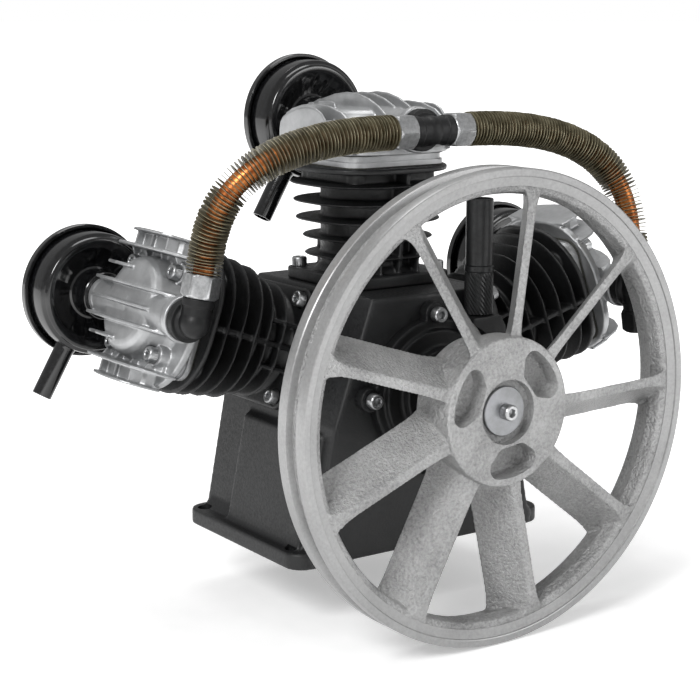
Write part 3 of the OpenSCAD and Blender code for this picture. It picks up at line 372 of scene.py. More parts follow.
def gloss_enamel(name, dark, light, rough_low, rough_high):
    """Stoved gloss enamel on pressed steel: nearly black, with slow ripples that bend its reflections."""
    finish, shader, place = finish_start(name, IOR=1.5, Coat_Weight=0.4, Coat_Roughness=0.08)
    ripple = add(finish, "ShaderNodeTexNoise", {"Scale": grains(14), "Detail": 2.0}, Vector=place)
    dust = add(finish, "ShaderNodeTexNoise", {"Scale": grains(2.2), "Detail": 5.0, "Roughness": 0.7},
                Vector=place)
    wire(finish, ramp(finish, dust.outputs["Fac"], [(0.45, dark), (0.72, light)]), shader, "Base Color")
    wire(finish, spread(finish, dust.outputs["Fac"], 0.4, 0.7, rough_low, rough_high), shader, "Roughness")
    bump = add(finish, "ShaderNodeBump", {"Strength": 0.35, "Distance": 0.12 * MM},
               Height=ripple.outputs["Fac"])
    wire(finish, bump.outputs["Normal"], shader, "Normal")
    return finish


def soft_material(name, dark, light, speck_mm, roughness):
    """Pressed fibre, felt or moulded rubber: matt, with specks of its own fibres or filler."""
    finish, shader, place = finish_start(name, roughness=roughness)
    speck = add(finish, "ShaderNodeTexNoise", {"Scale": grains(speck_mm), "Detail": 6.0, "Roughness": 0.7},
                Vector=place)
    wire(finish, ramp(finish, speck.outputs["Fac"], [(0.35, dark), (0.65, light)]), shader, "Base Color")
    bump = add(finish, "ShaderNodeBump", {"Strength": 0.6, "Distance": 0.15 * MM},
               Height=speck.outputs["Fac"])
    wire(finish, bump.outputs["Normal"], shader, "Normal")
    return finish


# Grey iron, sand cast, black enamel: satin with a fine grit
black_casting = sand_cast_enamel("black_enamelled_sand_casting", "#0c0c0d", "#1d1e1f", 1.5, 0.2, 0.4, 0.6)
# Machined cast iron under the same enamel: smoother, a little glossier
black_machined = sand_cast_enamel("black_enamelled_machined_iron", "#0a0a0b", "#131415",
                                  1.8, 0.16, 0.42, 0.58)
black_machined.node_tree.nodes["Principled BSDF"].inputs["Specular IOR Level"].default_value = 0.35
# Grey iron wheel, sand cast, aluminium paint: partly metallic, and its sparkle on the grit is painted into
# the colour as light speckles
silver_casting = sand_cast_enamel("aluminium_painted_sand_casting", "#868686", "#bebebe",
                                  1.5, 2.2, 0.3, 0.5, metallic=0.55)
# The same paint over turned iron: smooth and brighter
silver_turned = sand_cast_enamel("aluminium_painted_turned_iron", "#939393", "#a9a9a9",
                                 1.6, 0.03, 0.3, 0.38, metallic=0.5)
# Heads in die-cast aluminium, shot blasted: soft grey sheen
cast_aluminium = plain_metal("die_cast_aluminium", "#a2a3a4", "#b9babb", 14, 0.38, 0.46, 0.9, 0.03)
cast_aluminium.node_tree.nodes["Principled BSDF"].inputs["Metallic"].default_value = 0.72
# Nuts and screws, zinc plated steel: mottled pale grey
zinc_steel = plain_metal("zinc_plated_steel", "#9b9c9d", "#c4c5c6", 2.6, 0.28, 0.42, 0.5, 0.04)
# Big washer, turned and zinc plated: an even satin disc
satin_zinc = plain_metal("satin_zinc_washer", "#858687", "#96979a", 12, 0.34, 0.42, 0.5, 0.01)
# Bearings and pins, ground steel
ground_steel = plain_metal("ground_bearing_steel", "#9c9d9f", "#c8c9ca", 6, 0.16, 0.26)
# Crank and rods, drop forged steel left dark
forged_steel = plain_metal("drop_forged_steel", "#66635f", "#8d8a86", 5, 0.38, 0.55, 1.2, 0.08)
# Sight glass fitting, turned brass
turned_brass = plain_metal("turned_brass", "#a8863c", "#cdb06a", 5, 0.22, 0.34)
# Delivery pipe, drawn copper gone brown with heat
aged_copper = plain_metal("aged_copper_tube", "#8c4414", "#d88440", 7, 0.3, 0.48, 1.0, 0.05)
aged_copper.node_tree.nodes["Principled BSDF"].inputs["Metallic"].default_value = 0.6
# Fins on the pipe, tinned strip gone olive grey
fin_strip = plain_metal("tarnished_tinned_strip", "#57513c", "#9a937a", 6, 0.36, 0.5, 0.8, 0.03)
fin_strip.node_tree.nodes["Principled BSDF"].inputs["Metallic"].default_value = 0.6
# Their outer edges, in a lighter colour than the fins' faces
fin_edge = plain_metal("lighter_strip_edge", "#b3b09b", "#dcd9c6", 5, 0.3, 0.42, 0.8, 0.02)
fin_edge.node_tree.nodes["Principled BSDF"].inputs["Metallic"].default_value = 0.5
# Air filters, pressed steel in stoved gloss black
filter_enamel = gloss_enamel("stoved_gloss_black_enamel", "#0b0b0c", "#17181a", 0.1, 0.26)
# Gaskets, pressed fibre
gasket_fibre = soft_material("pressed_gasket_fibre", "#33332f", "#4d4d47", 0.8, 0.8)
# Filter elements, wool felt
wool_felt = soft_material("wool_felt", "#7b7869", "#a09c8b", 0.9, 0.9)
# Shaft seal, moulded rubber
seal_rubber = soft_material("moulded_nitrile_rubber", "#161616", "#262626", 1.5, 0.55)
# Breather, black oxide steel: even dark satin
black_oxide = plain_metal("black_oxide_steel", "#101011", "#202122", 4, 0.3, 0.44, 0.7, 0.03)
black_oxide.node_tree.nodes["Principled BSDF"].inputs["Metallic"].default_value = 0.2


# Screws with a straight knurled head and a hexagon socket

def cap_screw(shank, head_d=13.0, head_h=8.0, d=8.0):
    steps = 48
    knurl = [(head_d / 2 - (0.22 if s % 2 else 0)) for s in range(steps)]

    def knurled(z, k=1.0):
        return [(knurl[s] * k * math.cos(2 * math.pi * s / steps),
                 knurl[s] * k * math.sin(2 * math.pi * s / steps), z) for s in range(steps)]
    rings = [circle(d / 2 - 0.6, -shank, steps), circle(d / 2, -shank + 0.6, steps), circle(d / 2, 0, steps),
             circle(head_d / 2 - 0.5, 0, steps), knurled(0.5), knurled(head_h - 1.3),
             circle(head_d / 2 - 0.35, head_h - 0.7, steps), circle(head_d / 2 - 1.0, head_h, steps),
             circle(head_d * 0.285, head_h, steps), hexagon(head_d * 0.47, head_h - 0.6, steps),
             hexagon(head_d * 0.46, head_h * 0.5, steps), circle(0.3, head_h * 0.42, steps)]
    return lofted(rings)


def four(w, l=None):
    l = w if l is None else l
    return [(x * w / 2, y * l / 2) for x in (-1, 1) for y in (-1, 1)]


# Cylinders: barrel, rounded square fins, one web on each side, bosses for the head screws

FIN_W = 124.8
FIN_SHARES = (0.984, 0.947, 0.918, 0.827, 0.8)
# Height from the fin's middle and how far the edge draws in there
FIN_HALF = ((0.6, 0.5), (1.25, 2.2), (1.6, 12), (2.2, 24))
FIN_SECTION = [(-h, i) for h, i in FIN_HALF[::-1]] + [(0, 0)] + list(FIN_HALF)

barrel = Skins()
barrel.add(rod(37.9, 72.1, 84))
barrel.add(plate(104, 104, 10, 80.05, FOOT_TOP, 1.2))
barrel.add(turned([(AXIS, 80.05), (46, 80.05), (44, 92), (BARREL_R, 97), (BARREL_R, 179.9), (AXIS, 179.9)],
                  96, False))
barrel.add(plate(FIN_W, FIN_W, 49.9, 175.4, 179.95, 1.3))
for k, share in enumerate(FIN_SHARES):
    w, z = FIN_W * share, DECK - (k + 1) * FIN_PITCH
    barrel.add(lofted([squared(w - 2 * i, w - 2 * i, w * 0.4 - i, z + h) for h, i in FIN_SECTION]))
for x, y in four(HEAD_SCREWS):
    barrel.add(rod(9, 163.8, 179), Matrix.Translation((x, y, 0)))
barrel.add(plate(86, 86, 17, 165, 179))
for x in (-19, 19):
    for side in (-1, 1):
        barrel.add(plate(2.4, 24, 1, 88, 120), Matrix.Translation((x, side * 36, 0)))
web = [(0, 86), (47, 86), (49, 104), (60.5, 176), (60.5, 179), (0, 179)]
for turn in (0, 180):
    barrel.add(drawn(web, -1.9, 1.9, 0.5), Matrix.Rotation(math.radians(turn), 4, "Z") @ ACROSS)
mould = cast("cylinder_mould", barrel, 1.0, 3)
bores = Skins().add(rod(BORE_R, 60, 190, 96))
for x, y in four(FOOT_SCREWS):
    bores.add(rod(4.6, 70, 100, 24), Matrix.Translation((x, y, 0)))
    bores.add(rod(8.2, 90.0, 99, 32), Matrix.Translation((x, y, 0)))
for x, y in four(HEAD_SCREWS):
    bores.add(rod(4.2, 166, 190, 24), Matrix.Translation((x, y, 0)))
mould = machine(thin(mould, 0.25), bores)
for row in TILTS:
    piece(copied(mould, "casting_cylinder_" + row, at_cylinder(row)), "housing", [black_casting],
          ["cylinder_" + row])
bpy.data.objects.remove(mould)

foot_screws = Skins()
for row in TILTS:
    for x, y in four(FOOT_SCREWS):
        foot_screws.add(cap_screw(18.5), at_cylinder(row) @ Matrix.Translation((x, y, FOOT_TOP)))
piece(bench("foot_cap_screws", foot_screws.mesh("foot_cap_screws")), "housing", [zinc_steel],
      ["cylinder_screws"], 30)

# Heads: flange, dome, bosses and fins in one die casting

def upright(outline, x, t):
    """A fin: an outline of along and up, standing across the head at x."""
    return drawn(outline, -t / 2, t / 2, 0.45), Matrix.Translation((x, 0, 0)) @ ACROSS


head = Skins()
head.add(plate(FIN_W, FIN_W, 49.9, 191.05, FLANGE_TOP, 1.2))
dome = [(AXIS, 192), (50, 192), (48, 198.4), (45, 200.5), (43.2, 205), (42.2, 213), (41, 219),
        (38.5, 223.5), (35, 226), (31, 226.9), (AXIS, 227)]
head.add(turned(dome, 96, False))
for x, y in four(HEAD_SCREWS):
    head.add(turned([(AXIS, 192), (10.5, 192), (9.3, 199.5), (8.8, 207), (AXIS, 207)], 40, False),
             Matrix.Translation((x, y, 0)))
toward_wheel = Matrix.Translation((0, 0, PORT_AXIS)) @ ALONG_Y
head.add(rod(15.8, 0, 68, 64), toward_wheel)
fitting_seat = [(AXIS, 60), (15.8, 60), (18.4, 65), (18.9, 67), (18.9, 71.4), (18.3, 72), (AXIS, 72)]
head.add(turned(fitting_seat, 64, False), toward_wheel)
head.add(rod(16.4, -60, 0, 64), toward_wheel)
filter_seat = [(AXIS, -64), (16.2, -64), (17, -63), (17, -58), (16, -56.5), (AXIS, -56.5)]
head.add(turned(filter_seat, 64, False), toward_wheel)
outer_lobe = [(-33, 193), (41, 193), (41.5, 208), (40, 215), (35.5, 219.8), (27, 223.6), (13.5, 227.6),
              (0, 229.2), (-13.5, 228.6), (-22, 225.2), (-28.5, 219.4), (-32, 211), (-33, 203)]
second_fin = [(-52, 193), (55, 193), (57, 206), (56, 215), (51.5, 221.5), (42, 225.8), (26, 229.4), (6, 231),
              (-14, 230), (-32, 225.6), (-44, 218.6), (-50, 210), (-52, 202)]
middle_fin = [(-56, 206), (60, 206), (61, 226), (58, 229.6), (46, 232.4), (26, 237.4), (8, 239.6), (-8, 239),
              (-24, 235.6), (-38, 230), (-48, 224), (-54, 217)]
short_fin = [(3, 200), (50, 200), (51, 219), (49, 226.5), (44, 229.6), (30, 231.6), (12, 232.4), (5, 231.6),
             (3, 228)]
outer_floor = [(-30, 193), (38, 193), (37.5, 203), (33, 209), (24, 212.5), (0, 215), (-18, 212), (-27, 205)]
inner_floor = [(-42, 193), (48, 193), (47, 201), (36, 206), (-32, 206), (-41, 201)]
for side in (-1, 1):
    head.add(*upright(outer_lobe, side * 61.1, 2.2))
    head.add(*upright(second_fin, side * 47.6, 2.4))
    head.add(*upright(middle_fin, side * 15.3, 2.6))
    head.add(*upright(short_fin, side * 29.8, 2.6))
    sideways = Matrix(((side, 0, 0, 0), (0, 0, 1, 0), (0, 1, 0, 0), (0, 0, 0, 1)))
    for y in (-22, 3, 28):
        head.add(drawn([(47, 194), (62, 194), (62, 219), (47, 219)], y - 1.2, y + 1.2, 0.3), sideways)
    for y in (-33, -8, 18, 40):
        head.add(drawn([(38, 194), (48, 194), (48, 215), (38, 209)], y - 1.2, y + 1.2, 0.3), sideways)
    head.add(*upright(outer_floor, side * 54.3, 12.5))
    head.add(*upright(inner_floor, side * 44.5, 7))
head.add(*upright(middle_fin, 0, 2.6))
mould = cast("head_mould", head, 0.8, 3)
ports = Skins()
for x, y in four(HEAD_SCREWS):
    ports.add(rod(4.2, 185, 230, 24), Matrix.Translation((x, y, 0)))
    ports.add(rod(7.0, SCREW_SEAT, 246, 32), Matrix.Translation((x, y, 0)))
ports.add(rod(9, 40, 80, 48), toward_wheel)
ports.add(rod(9, -80, -34, 48), toward_wheel)
ports.add(turned([(AXIS, 185), (38, 185), (38, 212), (30, 221), (AXIS, 222)], 64, False))
mould = machine(thin(mould, 0.3), ports)
for row in TILTS:
    piece(copied(mould, "casting_head_" + row, at_cylinder(row)), "housing", [cast_aluminium],
          ["head_" + row])
bpy.data.objects.remove(mould)

head_screws = Skins()
for row in TILTS:
    for x, y in four(HEAD_SCREWS):
        head_screws.add(cap_screw(38), at_cylinder(row) @ Matrix.Translation((x, y, SCREW_SEAT)))
piece(bench("head_cap_screws", head_screws.mesh("head_cap_screws")), "housing", [zinc_steel],
      ["head_screws"], 30)

# Flywheel: turned rim with its belt groove, and the casting of blades and hub inside it

def wheel_turn(profile, steps=192):
    return turned(profile, steps)


rim = Skins()
rim.add(wheel_turn([
    (176, 156), (188.6, 155), (189.6, 155.4), (190, 156.4), (190, 164.9), (189.4, 165.8), (178, 169.6),
    (178, 175.4), (189.4, 179.2), (190, 180.1), (190, 188.6), (189.6, 189.6), (188.8, 190), (184.2, 190),
    (183.6, 189.7), (183.2, 188.6), (176, 186.5)]), on_crank())
piece(bench("wheel_rim_turned", rim.mesh("wheel_rim_turned")), "crank", [silver_turned], ["flywheel"],
      25)

wheel = Skins()
wheel.add(wheel_turn([(184.4, 155.6), (184.4, 188.9), (183.4, 188.5), (172.5, 184.6), (171, 183.6),
                      (168.8, 173.5), (169.6, 171.9), (171.6, 171), (173.4, 157), (175, 155.6)]))
# Radius along a blade and how much it swells there, at its root and at the rim
BLADE_SWELL = ((44, 3.5), (56, 2.6), (62, 1.1), (70, 0.3), (84, 0), (120, 0), (152, 0), (162, 0.5),
               (168, 1.8), (172, 4.0), (175, 6.5))
# Where its two edges lie across the blade, at the front face and at the back
BLADE_FRONT, BLADE_BACK = (3.6, -5.0), (-17.8, -26.2)
for k in range(9):
    rings = []
    for r, grow in BLADE_SWELL:
        front, back = 188 - 0.2 * grow, 157 + 0.2 * grow
        rings.append([(r, BLADE_FRONT[0] + grow, front), (r, BLADE_FRONT[1] - grow, front),
                      (r, BLADE_BACK[1] - grow, back), (r, BLADE_BACK[0] + grow, back)])
    wheel.add(lofted(rings), Matrix.Rotation(math.radians(2 + 40 * k), 4, "Z"))
wheel.add(turned([(AXIS, 166), (58.6, 166), (HUB_R, 168), (HUB_R, 191), (58.6, HUB_FRONT), (57.4, 191.7),
                  (56, 191.3), (AXIS, 191.3)], 128, False))
hub_back = HUB_FRONT - HUB_L
hub_root = [(AXIS, hub_back), (52.5, hub_back), (54, hub_back + 2), (55, 168), (AXIS, 168)]
wheel.add(turned(hub_root, 128, False))
mould = cast("wheel_mould", wheel, 1.15, 3)
pockets = Skins()


def hull(circles, steps=48):
    """Outline drawn tight round circles given by place and radius."""
    points = sorted((x + r * math.cos(2 * math.pi * s / steps), y + r * math.sin(2 * math.pi * s / steps))
                    for x, y, r in circles for s in range(steps))

    def half(row):
        chain = []
        for p in row:
            while len(chain) > 1 and ((chain[-1][0] - chain[-2][0]) * (p[1] - chain[-2][1])
                                      <= (chain[-1][1] - chain[-2][1]) * (p[0] - chain[-2][0])):
                chain.pop()
            chain.append(p)
        return chain[:-1]
    return half(points) + half(points[::-1])


arc = [math.radians(a) for a in (-18, -9, 0, 9, 18)]
bean = hull([(44.5 * math.cos(a), 44.5 * math.sin(a), 8.8) for a in arc] + [(36.6, y, 8.4) for y in (-8, 8)])
bean_x = 41
for k in range(3):
    levels = ((-17, 0.72), (-16, 0.86), (-13.5, 0.95), (-10, 0.98), (-1.6, 1.0), (-0.6, 1.03), (4, 1.06))
    pockets.add(lofted([[(bean_x + (x - bean_x) * share, y * share, HUB_FRONT + rise) for x, y in bean]
                        for rise, share in levels]),
                Matrix.Rotation(math.radians(38 + 120 * k), 4, "Z"))
pockets.add(rod(26, HUB_FRONT - 8, HUB_FRONT + 6, 64))
pockets.add(rod(15.1, 130, 200, 64))
mould = machine(thin(mould, 0.3), pockets)
mould.data.transform(Matrix.Scale(MM, 4) @ on_crank() @ Matrix.Scale(1 / MM, 4))
mould.name = "wheel_spokes_and_hub"
piece(mould, "crank", [silver_casting], ["flywheel"], 50)

WASHER_TOP = 188.04
washer = turned([(4.2, 184.1), (19.2, 184.1), (20, 184.7), (20, 186.2), (19.4, 186.8), (14, 187.4),
                 (8, WASHER_TOP), (4.2, WASHER_TOP)], 96)
piece(bench("wheel_washer", Skins().add(washer, on_crank()).mesh("wheel_washer")), "crank", [satin_zinc],
      ["flywheel_washer"], 25)
bolt = Skins().add(cap_screw(17), on_crank() @ Matrix.Translation((0, 0, WASHER_TOP)))
piece(bench("wheel_cap_screw", bolt.mesh("wheel_cap_screw")), "crank", [zinc_steel], ["flywheel_bolt"],
      30)

# Air filters: pressed drum with a dished, ribbed face, neck and snorkel, and a rolled cover

def dished(profile, steps=144, ribs=16, rise=0.5):
    """Lathe work whose dish carries pressed radial ribs."""
    rings = []
    for r, z, ribbed in profile:
        ring = []
        for s in range(steps):
            a = 2 * math.pi * s / steps
            bulge = rise * max(0, math.cos(ribs * a)) ** 2 if ribbed else 0
            ring.append((r * math.cos(a), r * math.sin(a), z - bulge))
        rings.append(ring)
    return lofted(rings, True)


# Radius, place along the filter's axis, and 1 where the pressed ribs show
drum_profile = [(10.7, 64.1, 0), (19.4, 64.1, 0), (20, 64.8, 0), (20, 84, 0), (20.8, 86.2, 0), (22.5, 87, 0),
                (26, 86.6, 1), (32, 82.6, 1), (37.5, 78.8, 1), (40.5, 77, 0), (42.5, 76.1, 0), (45.5, 76, 0),
                (47.2, 76.4, 0), (48.2, 77.3, 0), (48.8, 78.8, 0), (50.2, 79.4, 0), (51.4, 80.2, 0),
                (52, 81.8, 0), (52, 106, 0), (50.4, 106, 0), (50.4, 83, 0), (47, 80.4, 0), (44, 78.4, 0),
                (42, 79, 0), (37.5, 81.4, 0), (30, 86.8, 0), (25, 89, 0), (10.7, 89, 0)]
cover_profile = [(AXIS, 114.4), (34, 114.4), (37.4, 113.6), (50, 108), (53.5, 106.6), (53.6, 101.6),
                 (54.6, 101), (56.4, 101), (57, 101.8), (57, 107.2), (56, 108.6), (52, 109.8), (40, 114.6),
                 (37.5, 115.6), (34, 116), (24, 116), (22.6, 115.5), (21, 115.4), (AXIS, 115.4)]
snorkel_profile = [(6.9, 48.5), (9.6, 48.8), (9.4, 51.6), (8.9, 53.4), (8.5, 55), (8.5, 97.4), (8.2, 98),
                   (7.2, 98), (6.9, 97.6)]
SNORKEL_LEAN, FILTER_MIDDLE = 30.5, 91
for row in TILTS:
    toward_filter = at_port(row, -90)
    body = Skins().add(dished(drum_profile), toward_filter)
    lean = (Matrix.Translation(port_place(row)) @ Matrix.Rotation(math.radians(180 + SNORKEL_LEAN), 4, "Y")
            @ Matrix.Translation((0, FILTER_MIDDLE, 0)))
    body.add(turned(snorkel_profile, 48), lean)
    piece(bench("pressed_filter_drum_" + row, body.mesh("filter_drum")), "housing", [filter_enamel],
          ["filter_body_" + row], 30)
    lid = Skins().add(turned(cover_profile, 128, False), toward_filter)
    piece(bench("pressed_filter_cover_" + row, lid.mesh("filter_cover")), "housing", [filter_enamel],
          ["filter_cover_" + row], 30)

# Fittings: elbow and tees in black enamelled malleable iron

def fitting(name, row, lean, up, down, node):
    body = Skins()
    port = at_port(row)
    body.add(rod(17.1, 72.05, 80, 48), port)
    neck = [(AXIS, 79), (15, 79), (11.6, 82), (11, FITTING_Y), (AXIS, FITTING_Y)]
    body.add(turned(neck, 48, False), port)
    run = at_run(row, lean)
    body.add(ball(12.4), run)
    for length, spin in ((up, 0), (down, 180)):
        if length:
            way = run @ Matrix.Rotation(math.radians(spin), 4, "X")
            body.add(rod(11.4, 0, length - 0.2, 48), way)
            body.add(rod(12.4, length - 6.5, length - 0.2, 48), way)
    obj = cast(name, body, 0.55, 3)
    cuts = Skins()
    for length, spin in ((up, 0), (down, 180)):
        if length:
            cuts.add(rod(5.5, -2, length + 10, 32), run @ Matrix.Rotation(math.radians(spin), 4, "X"))
    cuts.add(rod(4.9, 60, 87, 32), port)
    return piece(machine(thin(obj, 0.4), cuts), "housing", [black_machined], [node], 45)


fitting("elbow_casting_left", "left", LEFT_LEAN, NUT_SEAT, 0, "elbow_left")
fitting("tee_casting_center", "center", 90, NUT_SEAT, NUT_SEAT, "tee_center")
fitting("tee_casting_right", "right", RIGHT_LEAN, NUT_SEAT, NUT_SEAT, "tee_right")


def union_nut(bore_r):
    """Hexagon union nut, both ends turned to a chamfer."""
    steps, af = 72, 26
    corner = af / math.cos(math.pi / 6)

    def chamfered(z, r):
        ring = []
        for x, y, _ in hexagon(af, z, steps):
            out = math.hypot(x, y)
            ring.append((x, y, z) if out <= r else (x * r / out, y * r / out, z))
        return ring

    rings = [circle(bore_r, 0, steps), circle(12.4, 0, steps), chamfered(0.5, 13.2), chamfered(1.5, 14.2),
             chamfered(2.4, corner), chamfered(16.6, corner), chamfered(17.5, 14.2), chamfered(18.5, 13.2),
             circle(12.2, NUT_L, steps), circle(bore_r + 0.8, NUT_L, steps), circle(bore_r, 18.2, steps)]
    return lofted(rings, True)


nuts = Skins()
for row, turn in (("left", LEFT_LEAN), ("center", 90), ("center", -90), ("right", RIGHT_LEAN)):
    nuts.add(union_nut(7.55), at_run(row, turn) @ Matrix.Translation((0, 0, NUT_SEAT)))
piece(bench("pipe_union_nuts", nuts.mesh("pipe_union_nuts")), "housing", [zinc_steel], ["pipe_nuts"],
      25)
outlet = Skins().add(union_nut(9.5), at_run("right", OUTLET_LEAN) @ Matrix.Translation((0, 0, NUT_SEAT)))
piece(bench("delivery_outlet_nut", outlet.mesh("delivery_outlet_nut")), "housing", [black_machined],
      ["pipe_nuts"], 25)

# Delivery pipes: copper tube with thin fins round it

def bend(a, da, b, db, pull_a, pull_b, count=240):
    """Points of a pipe's middle line, at even steps of the curve's parameter, with a short straight start and
    end.
    """
    sa, sb = a + da * 5, b + db * 5
    p1, p2 = sa + da * pull_a, sb + db * pull_b
    rough = [a - da * 10, a] + [
        (1 - t) ** 3 * sa + 3 * (1 - t) ** 2 * t * p1 + 3 * (1 - t) * t * t * p2 + t ** 3 * sb
        for t in (k / count for k in range(count + 1))] + [b, b - db * 10]
    return rough


def stations(line, pitch, skip):
    """Places and directions along a line, a pitch apart, leaving its ends free."""
    found, run, target = [], 0.0, skip
    total = sum((line[k + 1] - line[k]).length for k in range(len(line) - 1))
    for k in range(len(line) - 1):
        step = line[k + 1] - line[k]
        while run + step.length >= target and target < total - skip:
            found.append((line[k] + step * ((target - run) / step.length), step.normalized()))
            target += pitch
        run += step.length
    return found


def facing(place, direction):
    """Frame at a place, +Z along a direction."""
    return Matrix.Translation(place) @ direction.to_track_quat("Z", "Y").to_matrix().to_4x4()


def tube(line, r, bore, steps=32):
    rings_out, rings_in = [], []
    u = line[1] - line[0]
    side = u.cross(Vector((0, 1, 0))).normalized()
    for k, p in enumerate(line):
        way = (line[min(k + 1, len(line) - 1)] - line[max(k - 1, 0)]).normalized()
        side = (side - way * side.dot(way)).normalized()
        other = way.cross(side)
        turn = [(math.cos(2 * math.pi * s / steps), math.sin(2 * math.pi * s / steps)) for s in range(steps)]
        rings_out.append([tuple(p + (side * c + other * n) * r) for c, n in turn])
        rings_in.append([tuple(p + (side * c + other * n) * bore) for c, n in turn])
    return lofted(rings_out + rings_in[::-1], True)


def finned(name, node, line):
    hands = random.Random(7)
    copper = Skins().add(tube(line, 8.2, 5.5))
    piece(bench(name + "_tube", copper.mesh(name + "_tube")), "housing", [aged_copper], [node], 60)
    fins = Skins()
    for place, direction in stations(line, 3.0, 11.5):
        lean = Vector((hands.uniform(-1, 1), hands.uniform(-1, 1), hands.uniform(-1, 1))) * 0.035
        r = 14.3 + hands.uniform(-0.25, 0.1)
        way = facing(place, (direction + lean).normalized())
        fins.add(turned([(r - 0.7, -0.22), (r, -0.2), (r, 0.2), (r - 0.7, 0.22)], 36), way, 2)
        fins.add(turned([(10.4, -0.12), (r - 0.7, -0.1), (r - 0.7, 0.1), (10.4, 0.12)], 36), way)
        collar = [(7.9, -0.6), (8.5, -0.2), (10.4, -0.12), (10.4, 0.12), (8.5, 0.2), (7.9, 0.6)]
        fins.add(turned(collar, 36), way, 1)
    piece(bench(name + "_fins", fins.mesh(name + "_fins")), "housing", [fin_strip, aged_copper, fin_edge],
          [node], 40)


mid = run_place("center")
lean_left = Vector((math.sin(math.radians(12)), 0, math.cos(math.radians(12))))
lean_right = Vector((-math.sin(math.radians(9.5)), 0, math.cos(math.radians(9.5))))
finned("left_pipe", "pipe_left", bend(mid - Vector((NUT_OUT, 0, 0)), Vector((-1, 0, 0)),
                                      run_place("left") + lean_left * NUT_OUT, lean_left, 158.7, 32.2))
finned("right_pipe", "pipe_right", bend(mid + Vector((NUT_OUT, 0, 0)), Vector((1, 0, 0)),
                                        run_place("right") + lean_right * NUT_OUT, lean_right, 172.5, 24.15))

# Breather: knurled body with a plain tube

breather_place = Matrix.Translation((42, -100.3, 196.8))
knurled, steps = [], 96
levels = [(0, 10.6), (0.9, 11.6)] + [(1 + 1.1 * k, 12.0) for k in range(31)] + [(35.4, 11.6), (36, 11.2)]
for k, (z, r) in enumerate(levels):
    ring = []
    for s in range(steps):
        depth = 0.5 if 1 < k < len(levels) - 2 and (s + k) % 4 in (0, 1) else 0
        way = 2 * math.pi * s / steps
        ring.append(((r - depth) * math.cos(way), (r - depth) * math.sin(way), z))
    knurled.append(ring)
body = Skins().add(lofted(knurled), breather_place)
body.add(rod(5.5, -8.9, 1, 32), breather_place)
collar = [(AXIS, 35.6), (11.2, 35.6), (12.05, 36.4), (12.05, 40.4), (11.4, 41), (AXIS, 41)]
body.add(turned(collar, 64, False), breather_place)
piece(bench("breather_knurled_body", body.mesh("breather_knurled_body")), "housing", [black_oxide],
      ["breather_body"], 30)
tube = [(2.8, 41), (10.8, 41), (11.25, 41.5), (11.25, 95.2), (10.7, 95.98), (9.9, 95.98), (9.25, 95.3),
        (9.25, 52), (2.8, 51)]
pipe = Skins().add(turned(tube, 96), breather_place)
piece(bench("breather_plain_tube", pipe.mesh("breather_plain_tube")), "housing", [black_oxide],
      ["breather_tube"], 30)

# Crankcase: foot flange, housing with raised side panels and shoulders, breather boss

def case_outline(d, foot_half, low=52.0):
    tilt = math.radians(SIDE_TILT)
    low_x = d * math.sin(tilt) + low * math.cos(tilt)
    low_z = CRANK_H + d * math.cos(tilt) - low * math.sin(tilt)
    top_x = d * math.tan(tilt / 2)
    return [(foot_half, 2), (low_x, low_z), (top_x, CRANK_H + d), (-top_x, CRANK_H + d), (-low_x, low_z),
            (-foot_half, 2)]


case = Skins()
foot = [(x, y + 4) for x, y, _ in squared(260, 179, 16, 0)]
front_edge = [(-76, -85.5), (-70, -79.5), (-66, -73.5), (66, -73.5), (70, -79.5), (76, -85.5)]
corner = [i for i, (x, y) in enumerate(foot) if abs(y + 85.5) < 1e-6]
split = max(i for i in corner if foot[i][0] < 0)
notched = foot[:split + 1] + front_edge + foot[split + 1:]
case.add(lofted([[(x * k, y * k, z) for x, y in notched] for k, z in
                 ((0.995, 0.02), (1, 1.0), (1, 12.6), (0.996, 13.6), (0.99, 14))]))
case.add(drawn(case_outline(80, 114), -CASE_END, CASE_END, 1.5), ALONG_Y)
boss_foot = ((25, -116), (59, -116), (59, -84), (25, -84))
boss_top = ((25.3, -115.7), (54, -115.7), (54, -84), (25.3, -84))
case.add(lofted([[(x, y, z) for x, y in corners]
                 for corners, z in ((boss_foot, 166.8), (boss_foot, 188), (boss_top, 196.7))]))
for side in (-1, 1):
    panel = [(side * x, z) for x, z in ((100, 8), (121, 8), (117.5, 22), (101, 103), (94, 107), (84, 100))]
    case.add(drawn(panel, -40, 72, 1.0), ALONG_Y)
case.add(lofted([[(x * k, y * k2, z) for x, y, _ in squared(228, 176, 6, 0)] for z, k, k2 in
                 ((8, 1.035, 0.998), (14, 1.02, 0.998), (17, 1.003, 0.99), (22, 0.97, 0.97))]))
casting = cast("crankcase_casting", case, 1.5, 3)
rooms = Skins()
room = [(106, 14), (70, 112), (52, 205), (-52, 205), (-70, 112), (-106, 14)]
rooms.add(drawn(room, -80, 80), ALONG_Y)
rooms.add(rod(52, -90, 90, 96), on_crank())
for row in TILTS:
    rooms.add(rod(38, 60, 84, 96), at_cylinder(row))
for x, y in four(237.6, 142.4):
    rooms.add(rod(6.75, -2, 16, 32), Matrix.Translation((x, y + 7, 0)))
rooms.add(rod(60.3, 88.05, 130, 96), on_crank())
casting = machine(thin(casting, 0.3), rooms)
piece(casting, "housing", [black_casting], ["crankcase"], 40)

# Bearing covers with their ears, rings and screws

